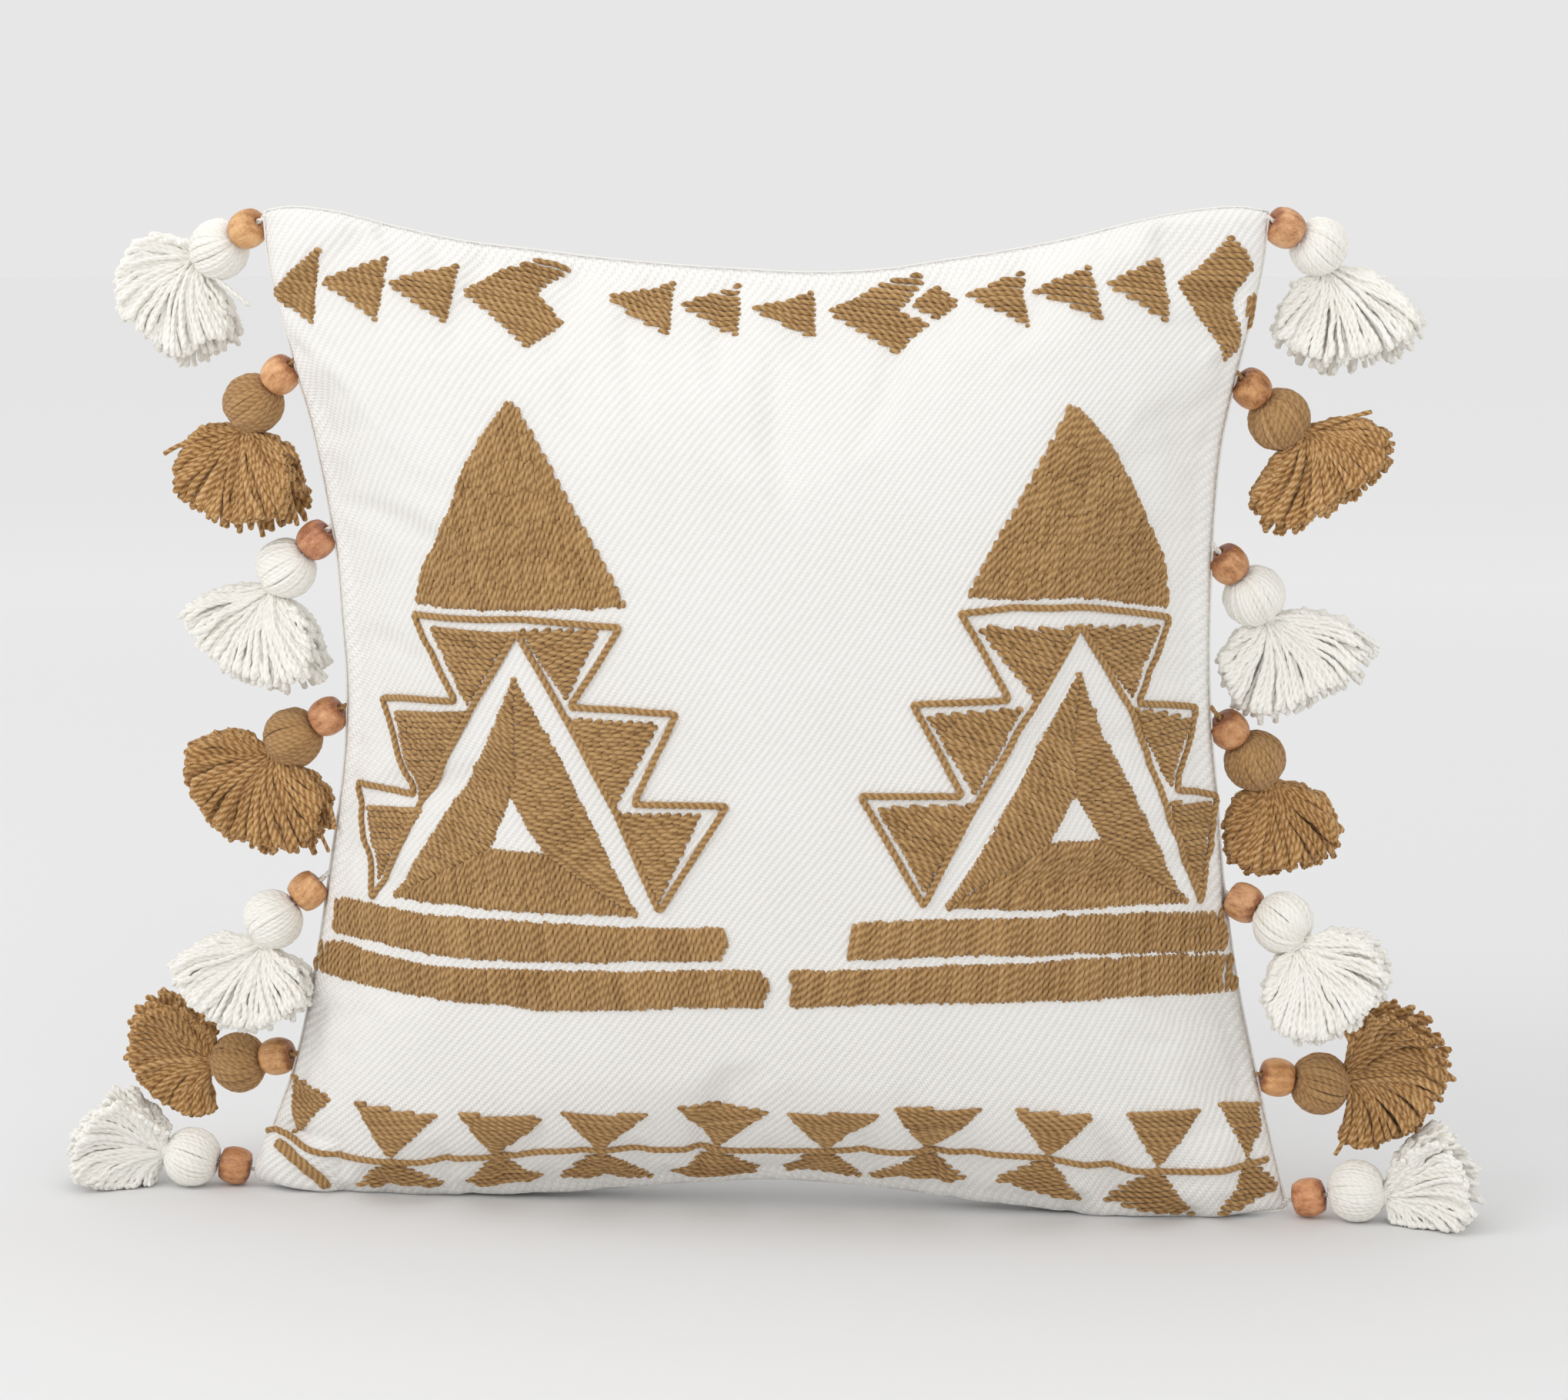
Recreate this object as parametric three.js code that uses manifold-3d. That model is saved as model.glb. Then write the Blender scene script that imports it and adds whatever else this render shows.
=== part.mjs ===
// Square throw pillow standing on its bottom edge, with seven beaded yarn tassels down each side seam.
// Millimetres, +Z up, front face towards -Y. The origin is under the middle of the whole object, on the surface it stands on.
import * as THREE from "three";
import { mergeVertices } from "three/addons/utils/BufferGeometryUtils.js";
import Module from "manifold-3d";

const wasm = await Module();
wasm.setup();

// ---------------------------------------------------------------- driving dimensions
const HALF_THICKNESS = 75; // seam plane to the crown of either face
const COVER_WALL = 1.8; // woven cloth with the embroidery yarn and its floats behind
const COVER_INSET = 5; // seam allowance inside the knife edge
const CASING_GAP = 3.6; // cover to insert casing
const CASING_WALL = 0.8;
const FILL_GAP = 0.7;
const SEAM_GAP = 0.15; // each panel stops this far from the seam plane
const FLAT_DEPTH = 26; // half depth of the pads that the bottom edge is squashed into
const BOTTOM_BLUNTNESS = 0.42;
const TOP_BLUNTNESS = 0.62;

// Seam line, corner to corner (x, z), stuffed. The flat cover is 508 mm square.
const SEAM_TOP = [[-239, 478], [-226, 480], [-205, 478], [-176, 471], [-142, 464], [-109, 460], [-75, 456], [-42, 453], [-9, 451], [25, 449.5], [58, 451], [85, 455], [111, 459], [143, 465], [175, 473], [203, 478.5], [224, 480], [237, 478]];
const SEAM_BOTTOM = [[-252, 3], [-232, 1], [-200, 0.5], [-157, 2], [-107, 4], [-64, 6], [-25, 9], [5, 11], [49, 9.5], [88, 8], [115, 6], [136, 4], [160, 1.5], [190, 0.5], [230, 1], [254, 3]];
const SEAM_LEFT = [[-252, 3], [-247, 18], [-241, 35], [-233, 56], [-226, 82], [-221, 106], [-216, 134], [-211, 166], [-205.5, 200], [-202.5, 230], [-202, 255], [-204, 285], [-206, 315], [-211, 345], [-217, 375], [-225, 405], [-232, 433], [-237, 455], [-239, 478]];
const SEAM_RIGHT = [[254, 3], [250, 20], [245, 40], [240, 62], [234, 88], [229, 112], [225, 136], [221, 165], [218, 200], [214.5, 235], [213, 265], [213, 300], [214, 335], [217, 370], [223, 400], [230, 430], [235, 455], [237, 478]];

// Zip across the back: it runs round an arc about an upright axis.
const ZIP_Z = 96; // height of its centre line
const ZIP_RADIUS = 830; // of the arc
const ZIP_HALF_SPAN = 148; // of the rows of teeth, along the arc
const ZIP_SLOPE = 0.17; // radial lean of the cover where the zip is let in
const HEM_HALF_GAP = 4.8; // hems stand this far from the centre line
const TAPE_WIDTH = 13, TAPE_THICKNESS = 0.7, TAPE_CLEARANCE = 0.8;
const ROW_WIDTH = 2.65, ROW_HALF_SLIT = 0.35, ROW_CLEARANCE = 0.3;
const SLIDER_LENGTH = 13, SLIDER_PLATE = 1.4, SLIDER_FLANGE = 1.0;
const BRIDGE_LENGTH = 8, BRIDGE_HEIGHT = 5, BRIDGE_BAR = 1.4;
const TAB_LENGTH = 27, TAB_WIDTH = 7.5, TAB_THICKNESS = 1.2;

// Tassels
const BEAD_RADIUS = 9.2, BEAD_LENGTH = 16, BORE_RADIUS = 2.1;
const CORD_RADIUS = 1.2, CORD_START = 1.3; // clear of the seam
const BALL_RADIUS = 15;
const NECK_RADIUS = 5.2, NECK_LENGTH = 1.5;
const SKIRT_LENGTH = 55, SKIRT_DEPTH_RATIO = 0.42;
// name: height of the cord's exit from the seam, cord angle in the seam plane (degrees from +X), cord lean (+ backwards), seam to bead and seam to ball along the cord, skirt angle, skirt length, skirt half angle
const TASSELS = {
  l1: { z: 475, cord: -149, lean: 24, bead: 11.6, ball: 33.4, skirt: -122, length: 50, spread: 50 },
  l2: { z: 407, cord: -136, lean: 14, bead: 10.4, ball: 32.2, skirt: -100, length: 50, spread: 46 },
  l3: { z: 328, cord: -138, lean: 8, bead: 11.2, ball: 33.2, skirt: -108, length: 50, spread: 46 },
  l4: { z: 240, cord: -148, lean: 8, bead: 10.2, ball: 32.2, skirt: -116, length: 50, spread: 46 },
  l5: { z: 158, cord: -139, lean: -12, bead: 14, ball: 36.2, skirt: -118, length: 42, spread: 44 },
  l6: { z: 67, cord: -168, lean: 12, bead: 11, ball: 33.2, skirt: 178, length: 46, spread: 46 },
  l7: { z: 7.5, cord: 168, lean: -8, bead: 11.7, ball: 33.9, skirt: 160, length: 50, spread: 40 },
  r1: { z: 475, cord: -31, lean: 26, bead: 10, ball: 31.8, skirt: -68, length: 50, spread: 50 },
  r2: { z: 403, cord: -48, lean: 22, bead: 10.4, ball: 32.2, skirt: -58, length: 48, spread: 46 },
  r3: { z: 323, cord: -52, lean: 20, bead: 13, ball: 34.8, skirt: -68, length: 44, spread: 42 },
  r4: { z: 245, cord: -52, lean: 20, bead: 14, ball: 35.8, skirt: -70, length: 44, spread: 40 },
  r5: { z: 157, cord: -24, lean: -22, bead: 10.4, ball: 32.2, skirt: -62, length: 42, spread: 44 },
  r6: { z: 69, cord: -10, lean: 14, bead: 10.2, ball: 32.2, skirt: 6, length: 46, spread: 46 },
  r7: { z: 7.5, cord: 12, lean: -8, bead: 11.7, ball: 35.2, skirt: 20, length: 50, spread: 40 },
};

// ---------------------------------------------------------------- colours
const IVORY = 0xf5f2e8, BROWN = 0xa87c49, COTTON = 0xf3f2ee, WOOD = [0xdcaa72, 0xd9a06a, 0xc58d5e, 0xd39c66, 0xd7a56c, 0xcf9a62, 0xc07f52];
const look = (color, roughness, metalness = 0) => new THREE.MeshStandardMaterial({ color, roughness, metalness });

// ---------------------------------------------------------------- the cover's shape
const along = (points) => new THREE.CatmullRomCurve3(points.map(([x, z]) => new THREE.Vector3(x, 0, z)), false, "centripetal");
const EDGE = { top: along(SEAM_TOP), bottom: along(SEAM_BOTTOM), left: along(SEAM_LEFT), right: along(SEAM_RIGHT) };
const TABLE = Object.fromEntries(Object.entries(EDGE).map(([k, c]) => [k, c.getSpacedPoints(400)]));
const edgeAt = (name, f) => {
  const i = Math.min(399, Math.floor(f * 400));
  return TABLE[name][i].clone().lerp(TABLE[name][i + 1], f * 400 - i);
};
const CORNER = { bl: edgeAt("bottom", 0), br: edgeAt("bottom", 1), tl: edgeAt("top", 0), tr: edgeAt("top", 1) };
const MIDDLE = new THREE.Vector3(0, 0, 238);

// Point of the seam-plane patch at s (left to right) and t (bottom to top).
function patch(s, t) {
  const p = new THREE.Vector3();
  p.addScaledVector(edgeAt("bottom", s), 1 - t).addScaledVector(edgeAt("top", s), t);
  p.addScaledVector(edgeAt("left", t), 1 - s).addScaledVector(edgeAt("right", t), s);
  p.addScaledVector(CORNER.bl, -(1 - s) * (1 - t)).addScaledVector(CORNER.br, -s * (1 - t));
  p.addScaledVector(CORNER.tl, -(1 - s) * t).addScaledVector(CORNER.tr, -s * t);
  return p;
}
const across = (s) => (1 - Math.abs(2 * s - 1) ** 2.4) ** 0.6;
const upwards = (t) => (1 - Math.abs(2 * t - 1) ** 2.3) ** (BOTTOM_BLUNTNESS + (TOP_BLUNTNESS - BOTTOM_BLUNTNESS) * t);
const smooth = (a, b, x) => THREE.MathUtils.smoothstep(x, a, b);
// How much of the squashed pad there is at s: none at the corners and in the arched middle.
const pad = (s) => {
  const u = Math.abs(2 * s - 1);
  return smooth(0.18, 0.42, u) * (1 - smooth(0.72, 0.9, u));
};

const COLUMNS = [0, 0.03, 0.08, 0.15, 0.26, 0.38, 0.5, 0.62, 0.74, 0.855, 0.92, 0.97, 1];
const PAD_ROW = 0.014;
const ROWS = [0, PAD_ROW, 0.04, 0.09, 0.15, 0.22, 0.32, 0.44, 0.56, 0.68, 0.79, 0.88, 0.95, 1];

const ZIP_CENTRE_Y = HALF_THICKNESS * upwards(0.2) - ZIP_RADIUS;
const zipRadius = (z) => ZIP_RADIUS + ZIP_SLOPE * (z - ZIP_Z);

// One face of the cover or of what is in it. inset and less step it inwards; side is -1 for the front and 1 for the back. row is a number (t), or {z} for a row at a set height beside the zip.
function facePoint(s, row, side, inset, less) {
  const k = 1 - inset / 250;
  const level = typeof row === "object";
  const t = level ? THREE.MathUtils.clamp((row.z - 6) / 452, 0, 1) : row;
  const p = patch(s, t);
  let y = (HALF_THICKNESS - less) * across(s) * upwards(t);
  const w = pad(s);
  if (row === 0) p.z = THREE.MathUtils.lerp(p.z, 0, w);
  if (row === PAD_ROW) {
    p.z = THREE.MathUtils.lerp(p.z, 0, w);
    y = THREE.MathUtils.lerp(y, FLAT_DEPTH - less * 0.5, w);
  }
  p.sub(MIDDLE).multiplyScalar(k).add(MIDDLE);
  if (level) {
    p.z = row.z;
    if (s > 0 && s < 1) {
      const r = zipRadius(row.z) - less;
      const round = ZIP_CENTRE_Y + Math.sqrt(r * r - p.x * p.x);
      y = THREE.MathUtils.lerp(y, round, 1 - smooth(166, 190, Math.abs(p.x)));
    }
  }
  p.z = Math.max(p.z, inset ? inset * 0.6 : 0);
  p.y = side * (SEAM_GAP + y);
  return p;
}

// A closed body of two grids joined round their rims: shape(i, j, first) gives each vertex, and the first grid faces -Y.
function gridSolid(nx, nz, shape) {
  const positions = [], index = [], at = (i, j, k) => k * (nx + 1) * (nz + 1) + j * (nx + 1) + i;
  for (const first of [true, false])
    for (let j = 0; j <= nz; j++)
      for (let i = 0; i <= nx; i++) positions.push(...shape(i, j, first).toArray());
  const quad = (a, b, c, d) => index.push(a, b, c, a, c, d);
  for (let j = 0; j < nz; j++)
    for (let i = 0; i < nx; i++) {
      quad(at(i, j, 0), at(i + 1, j, 0), at(i + 1, j + 1, 0), at(i, j + 1, 0));
      const [a, b, c, d] = [at(i, j, 1), at(i + 1, j, 1), at(i + 1, j + 1, 1), at(i, j + 1, 1)];
      index.push(a, c, b, a, d, c);
    }
  for (let i = 0; i < nx; i++) {
    quad(at(i, 0, 1), at(i + 1, 0, 1), at(i + 1, 0, 0), at(i, 0, 0));
    quad(at(i, nz, 0), at(i + 1, nz, 0), at(i + 1, nz, 1), at(i, nz, 1));
  }
  for (let j = 0; j < nz; j++) {
    quad(at(0, j, 1), at(0, j, 0), at(0, j + 1, 0), at(0, j + 1, 1));
    quad(at(nx, j, 0), at(nx, j, 1), at(nx, j + 1, 1), at(nx, j + 1, 0));
  }
  return new THREE.BufferGeometry().setAttribute("position", new THREE.Float32BufferAttribute(positions, 3)).setIndex(index);
}
function sealed(g) {
  g.deleteAttribute("normal");
  g.deleteAttribute("uv");
  return mergeVertices(g, 1e-3);
}
function shaded(g) {
  const out = g.index ? g.toNonIndexed() : g;
  out.computeVertexNormals();
  return out;
}
// A dish of cloth: outer and inner skins joined round the rim.
function dish(side, rows, inset, less, wall, wallInset) {
  const shape = (i, j, low) => {
    const outer = side < 0 ? low : !low;
    return outer ? facePoint(COLUMNS[i], rows[j], side, inset, less) : facePoint(COLUMNS[i], rows[j], side, inset + wallInset, less + wall);
  };
  return gridSolid(COLUMNS.length - 1, rows.length - 1, shape);
}
const mesh = (name, geometry, material) => {
  const m = new THREE.Mesh(shaded(geometry), material);
  m.name = name;
  return m;
};

const pillow = new THREE.Group();
const cotton = look(COTTON, 0.95);
pillow.add(mesh("front_panel", dish(-1, ROWS, 0, 0, COVER_WALL, COVER_INSET), cotton));
const UPPER_ROWS = [{ z: ZIP_Z + HEM_HALF_GAP }, { z: ZIP_Z + 22 }, ...ROWS.filter((t) => t > 0.3)];
const LOWER_ROWS = [...ROWS.filter((t) => t < 0.13), { z: ZIP_Z - 22 }, { z: ZIP_Z - HEM_HALF_GAP }];
// The hem edge keeps its inner skin level with its outer one, so only the sides and top step in.
pillow.add(mesh("back_panel_upper", dish(1, UPPER_ROWS, 0, 0, COVER_WALL, COVER_INSET), cotton));
pillow.add(mesh("back_panel_lower", dish(1, LOWER_ROWS, 0, 0, COVER_WALL, COVER_INSET), cotton));

const calico = look(0xece8de, 0.97);
const casingInset = COVER_INSET + 1.6, casingLess = COVER_WALL + CASING_GAP;
pillow.add(mesh("insert_case_front", dish(-1, ROWS, casingInset, casingLess, CASING_WALL, 2), calico));
pillow.add(mesh("insert_case_back", dish(1, ROWS, casingInset, casingLess, CASING_WALL, 2), calico));
const fillInset = casingInset + 2 + 0.9, fillLess = casingLess + CASING_WALL + FILL_GAP;
pillow.add(mesh("insert_fill", gridSolid(COLUMNS.length - 1, ROWS.length - 1, (i, j, low) => {
  const p = facePoint(COLUMNS[i], ROWS[j], low ? -1 : 1, fillInset, fillLess);
  return p;
}), look(0xf7f7f4, 1)));

// ---------------------------------------------------------------- zip
// Bends a straight run (x along, y out from the cover's outer skin, z up from the centre line) round the zip's arc.
function wrapped(g) {
  const pos = g.getAttribute("position");
  for (let n = 0; n < pos.count; n++) {
    const dz = pos.getZ(n), r = ZIP_RADIUS + ZIP_SLOPE * dz + pos.getY(n), a = pos.getX(n) / ZIP_RADIUS;
    pos.setXYZ(n, r * Math.sin(a), ZIP_CENTRE_Y + SEAM_GAP + r * Math.cos(a), ZIP_Z + dz);
  }
  return g;
}
// A run of rectangular section (y0..y1 out, z0..z1 up) from x0 to x1.
function run(x0, x1, y0, y1, z0, z1, steps) {
  return wrapped(new THREE.BoxGeometry(x1 - x0, y1 - y0, z1 - z0, steps, 1, 1).translate((x0 + x1) / 2, (y0 + y1) / 2, (z0 + z1) / 2));
}
const tapeTop = -COVER_WALL - TAPE_CLEARANCE, tapeBottom = tapeTop - TAPE_THICKNESS;
const rowTop = -0.2, rowBottom = tapeTop + ROW_CLEARANCE;
const tapeLook = look(0xf1efe9, 0.9), rowLook = look(0xf4f2ec, 0.45);
const tapeHalf = ZIP_HALF_SPAN + 4;
pillow.add(mesh("zip_tape_upper", sealed(run(-tapeHalf, tapeHalf, tapeBottom, tapeTop, 0.3, 0.3 + TAPE_WIDTH, 20)), tapeLook));
pillow.add(mesh("zip_tape_lower", sealed(run(-tapeHalf, tapeHalf, tapeBottom, tapeTop, -0.3 - TAPE_WIDTH, -0.3, 20)), tapeLook));
pillow.add(mesh("zip_teeth_upper", sealed(run(-ZIP_HALF_SPAN + 4, ZIP_HALF_SPAN - 4, rowBottom, rowTop, ROW_HALF_SLIT, ROW_HALF_SLIT + ROW_WIDTH, 20)), rowLook));
pillow.add(mesh("zip_teeth_lower", sealed(run(-ZIP_HALF_SPAN + 4, ZIP_HALF_SPAN - 4, rowBottom, rowTop, -ROW_HALF_SLIT - ROW_WIDTH, -ROW_HALF_SLIT, 20)), rowLook));
pillow.add(mesh("zip_stop_closed", sealed(run(ZIP_HALF_SPAN - 3.6, ZIP_HALF_SPAN - 0.6, rowBottom, rowTop, -3.4, 3.4, 1)), look(0xb9bcc0, 0.35, 1)));
pillow.add(mesh("zip_stop_open", sealed(run(-ZIP_HALF_SPAN + 0.6, -ZIP_HALF_SPAN + 3.6, rowBottom, rowTop, -3.4, 3.4, 1)), look(0xb9bcc0, 0.35, 1)));

// Slider: an upper plate with a flange down each side of the two rows, and the bridge that the tab hangs on.
const union = (...gs) => {
  const solids = gs.map((g) => {
    const m = sealed(g.clone());
    return new wasm.Manifold(new wasm.Mesh({ numProp: 3, vertProperties: m.getAttribute("position").array, triVerts: new Uint32Array(m.index.array) }));
  });
  const out = solids.reduce((a, b) => a.add(b)).getMesh();
  return new THREE.BufferGeometry().setAttribute("position", new THREE.BufferAttribute(new Float32Array(out.vertProperties), 3)).setIndex(new THREE.BufferAttribute(new Uint32Array(out.triVerts), 1));
};
const SLIDER_X = ZIP_HALF_SPAN - 5 - SLIDER_LENGTH / 2; // closed
const flangeIn = ROW_HALF_SLIT + ROW_WIDTH + 0.3, flangeOut = flangeIn + SLIDER_FLANGE - 0.15;
const sx0 = SLIDER_X - SLIDER_LENGTH / 2, sx1 = SLIDER_X + SLIDER_LENGTH / 2;
// The channel's section, drawn looking along the rows and extruded along them.
const section = new THREE.Shape();
[[-flangeOut, rowBottom], [-flangeIn, rowBottom], [-flangeIn, 0.3], [flangeIn, 0.3], [flangeIn, rowBottom], [flangeOut, rowBottom], [flangeOut, 0.9], [flangeOut - 0.8, 0.3 + SLIDER_PLATE], [-flangeOut + 0.8, 0.3 + SLIDER_PLATE], [-flangeOut, 0.9]]
  .forEach(([z, y], n) => (n ? section.lineTo(z, y) : section.moveTo(z, y)));
const channel = new THREE.ExtrudeGeometry(section, { depth: SLIDER_LENGTH, steps: 1, bevelEnabled: false });
// The section's x is across the rows (z), its y is outwards and its depth runs along the rows.
channel.applyMatrix4(new THREE.Matrix4().makeBasis(new THREE.Vector3(0, 0, 1), new THREE.Vector3(0, 1, 0), new THREE.Vector3(-1, 0, 0))).translate(sx1, 0, 0);
const bridgeShape = new THREE.Shape();
const bh = BRIDGE_LENGTH / 2, plateTop = 0.3 + SLIDER_PLATE;
[[-bh, plateTop - 0.5], [-bh, plateTop + BRIDGE_HEIGHT - 1.2], [-bh + 1.2, plateTop + BRIDGE_HEIGHT], [bh - 1.2, plateTop + BRIDGE_HEIGHT], [bh, plateTop + BRIDGE_HEIGHT - 1.2], [bh, plateTop - 0.5], [bh - BRIDGE_BAR, plateTop - 0.5], [bh - BRIDGE_BAR, plateTop + BRIDGE_HEIGHT - BRIDGE_BAR], [-bh + BRIDGE_BAR, plateTop + BRIDGE_HEIGHT - BRIDGE_BAR], [-bh + BRIDGE_BAR, plateTop - 0.5]]
  .forEach(([x, y], n) => (n ? bridgeShape.lineTo(x, y) : bridgeShape.moveTo(x, y)));
const bridge = new THREE.ExtrudeGeometry(bridgeShape, { depth: 1.8, bevelEnabled: false }).translate(SLIDER_X, 0, -0.9);
const metal = look(0xc3c5c8, 0.3, 1);
pillow.add(mesh("zip_slider", wrapped(union(channel, bridge)), metal));

// Pull tab: the end bar of its eye turns inside the bridge, and it lies along the closed rows at rest.
const tab = new THREE.Shape();
const tw = TAB_WIDTH / 2, EYE_REACH = 5.3;
[[0.6, -tw + 1], [0.6, tw - 1], [-0.6, tw], [-TAB_LENGTH + 3, tw + 0.6], [-TAB_LENGTH, tw - 1.4], [-TAB_LENGTH, -tw + 1.4], [-TAB_LENGTH + 3, -tw - 0.6], [-0.6, -tw]]
  .forEach(([x, z], n) => (n ? tab.lineTo(x, z) : tab.moveTo(x, z)));
const eye = new THREE.Path();
[[-0.6, -2.1], [-EYE_REACH, -2.1], [-EYE_REACH, 2.1], [-0.6, 2.1]].forEach(([x, z], n) => (n ? eye.lineTo(x, z) : eye.moveTo(x, z)));
tab.holes.push(eye);
const slot = new THREE.Path();
[[-TAB_LENGTH + 3.5, -1.8], [-TAB_LENGTH + 16, -1.8], [-TAB_LENGTH + 16, 1.8], [-TAB_LENGTH + 3.5, 1.8]].forEach(([x, z], n) => (n ? slot.lineTo(x, z) : slot.moveTo(x, z)));
tab.holes.push(slot);
const TAB_HEIGHT = plateTop + 1.6; // pivot, above the cover
// Drawn flat in its own frame, x along the rows and z across, with its pivot at the origin.
const tabSolid = new THREE.ExtrudeGeometry(tab, { depth: TAB_THICKNESS, bevelEnabled: false })
  .applyMatrix4(new THREE.Matrix4().makeBasis(new THREE.Vector3(1, 0, 0), new THREE.Vector3(0, 0, 1), new THREE.Vector3(0, -1, 0)))
  .translate(0, TAB_THICKNESS / 2, 0);
pillow.add(mesh("zip_pull_tab", wrapped(sealed(tabSolid.translate(SLIDER_X, TAB_HEIGHT, 0))), metal));

// ---------------------------------------------------------------- tassels
// The seam's x at height z, on the straight-sided outline of the panels.
function seamX(side, z) {
  const s = side < 0 ? 0 : 1;
  const pts = ROWS.map((t) => patch(s, t));
  for (let i = 0; i + 1 < pts.length; i++)
    if (z <= pts[i + 1].z || i + 2 === pts.length) {
      const f = (z - pts[i].z) / (pts[i + 1].z - pts[i].z);
      return THREE.MathUtils.lerp(pts[i].x, pts[i + 1].x, THREE.MathUtils.clamp(f, 0, 1));
    }
}
// A turned body on the +Y axis of its own frame; profile is [radius, distance along].
const turned = (profile, sides) => new THREE.LatheGeometry(profile.map(([r, a]) => new THREE.Vector2(r, a)), sides);
const arc = (r, a0, a1, n, centre, squash = 1) => Array.from({ length: n + 1 }, (_, i) => {
  const a = a0 + ((a1 - a0) * i) / n;
  return [r * Math.sin(a), centre - r * squash * Math.cos(a)];
});

const JOINTS = {};
const woodTone = (k, i) => WOOD[(i + k * 3) % WOOD.length];
Object.entries(TASSELS).forEach(([id, q], index) => {
  const side = id[0] === "l" ? -1 : 1;
  const number = Number(id[1]);
  const rad = THREE.MathUtils.degToRad;
  const anchor = new THREE.Vector3(seamX(side, q.z), 0, q.z);
  const lean = rad(q.lean);
  const cord = new THREE.Vector3(Math.cos(rad(q.cord)) * Math.cos(lean), Math.sin(lean), Math.sin(rad(q.cord)) * Math.cos(lean));
  const yarn = number % 2 ? IVORY : BROWN;
  // Frame with its Y along the cord.
  const stand = new THREE.Quaternion().setFromUnitVectors(new THREE.Vector3(0, 1, 0), cord);
  const place = (g) => g.applyQuaternion(stand).translate(anchor.x, anchor.y, anchor.z);

  // Bead: turned and drilled, a little shorter than it is wide.
  const poleAngle = 0.52;
  const beadSquash = (BEAD_LENGTH / 2) / (BEAD_RADIUS * Math.cos(poleAngle));
  const bead = [...arc(BEAD_RADIUS, poleAngle, Math.PI - poleAngle, 5, q.bead, beadSquash), [BORE_RADIUS, q.bead + BEAD_LENGTH / 2 - 0.5], [BORE_RADIUS, q.bead - BEAD_LENGTH / 2 + 0.5]];
  bead.push(bead[0].slice());
  pillow.add(mesh(`tassel_${id}_bead`, sealed(place(turned(bead, 12))), look(woodTone(side < 0 ? 0 : 1, number), 0.55)));

  // Head: the hanging cord, then the yarn-wound ball, with a dimple at each pole.
  const head = [[0, CORD_START], [CORD_RADIUS, CORD_START], [CORD_RADIUS, q.ball - BALL_RADIUS + 1.2], ...arc(BALL_RADIUS, 0.42, Math.PI - 0.36, 6, q.ball), [0, q.ball + BALL_RADIUS * Math.cos(0.36) - 0.6]];
  pillow.add(mesh(`tassel_${id}_head`, sealed(place(turned(head, 12))), look(yarn, 0.97)));

  // Skirt: cut yarn tied at the neck, fanned in the seam plane.
  const ballCentre = anchor.clone().addScaledVector(cord, q.ball);
  const down = new THREE.Vector3(Math.cos(rad(q.skirt)), Math.sin(lean) * 0.5, Math.sin(rad(q.skirt))).normalize();
  const neck = ballCentre.clone().addScaledVector(down, BALL_RADIUS + 0.4);
  const L = q.length, h = rad(q.spread);
  const fan = [[0, 0], [NECK_RADIUS, 0], [L * 0.3 * Math.sin(h), L * 0.2], [L * 0.72 * Math.sin(h), L * 0.5], [L * Math.sin(h), L * Math.cos(h) + 1], [L * 0.93 * Math.sin(h * 0.86), L * Math.cos(h * 0.72)], [L * Math.sin(h * 0.4), L * Math.cos(h * 0.4)], [0, L]];
  const skirt = turned(fan, 12);
  // Frame with its Y along the skirt, its Z near the depth of the pillow, and the depth thinned.
  const z = new THREE.Vector3(0, 1, 0).addScaledVector(down, -down.y).normalize();
  const x = new THREE.Vector3().crossVectors(down, z);
  const pos = skirt.getAttribute("position");
  for (let n = 0; n < pos.count; n++) {
    const r = Math.hypot(pos.getX(n), pos.getZ(n));
    const thin = THREE.MathUtils.lerp(1, SKIRT_DEPTH_RATIO, smooth(NECK_RADIUS, NECK_RADIUS + 6, r));
    pos.setZ(n, pos.getZ(n) * thin);
  }
  skirt.applyMatrix4(new THREE.Matrix4().makeBasis(x, down, z).setPosition(neck));
  for (let n = 0; n < pos.count; n++) pos.setZ(n, Math.max(pos.getZ(n), 0.3));
  pillow.add(mesh(`tassel_${id}_skirt`, sealed(skirt), look(yarn, 0.98)));
  JOINTS[id] = { anchor: anchor.toArray(), cord: cord.toArray(), bead: anchor.clone().addScaledVector(cord, q.bead).toArray(), neck: neck.toArray(), down: down.toArray() };
});

// ---------------------------------------------------------------- origin under the middle, on the floor
const box = new THREE.Box3().setFromObject(pillow);
const shift = new THREE.Vector3(-(box.min.x + box.max.x) / 2, -(box.min.y + box.max.y) / 2, -box.min.z);
pillow.position.copy(shift);
pillow.userData = {
  shift: shift.toArray(),
  tassels: JOINTS,
  zip: { centre: [0, ZIP_CENTRE_Y + SEAM_GAP, ZIP_Z], radius: ZIP_RADIUS, sliderAngle: SLIDER_X / ZIP_RADIUS, travel: (SLIDER_X + ZIP_HALF_SPAN - 5 - SLIDER_LENGTH / 2) / ZIP_RADIUS, tabX: SLIDER_X, tabOut: TAB_HEIGHT, slope: ZIP_SLOPE },
};
export default pillow;
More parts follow.
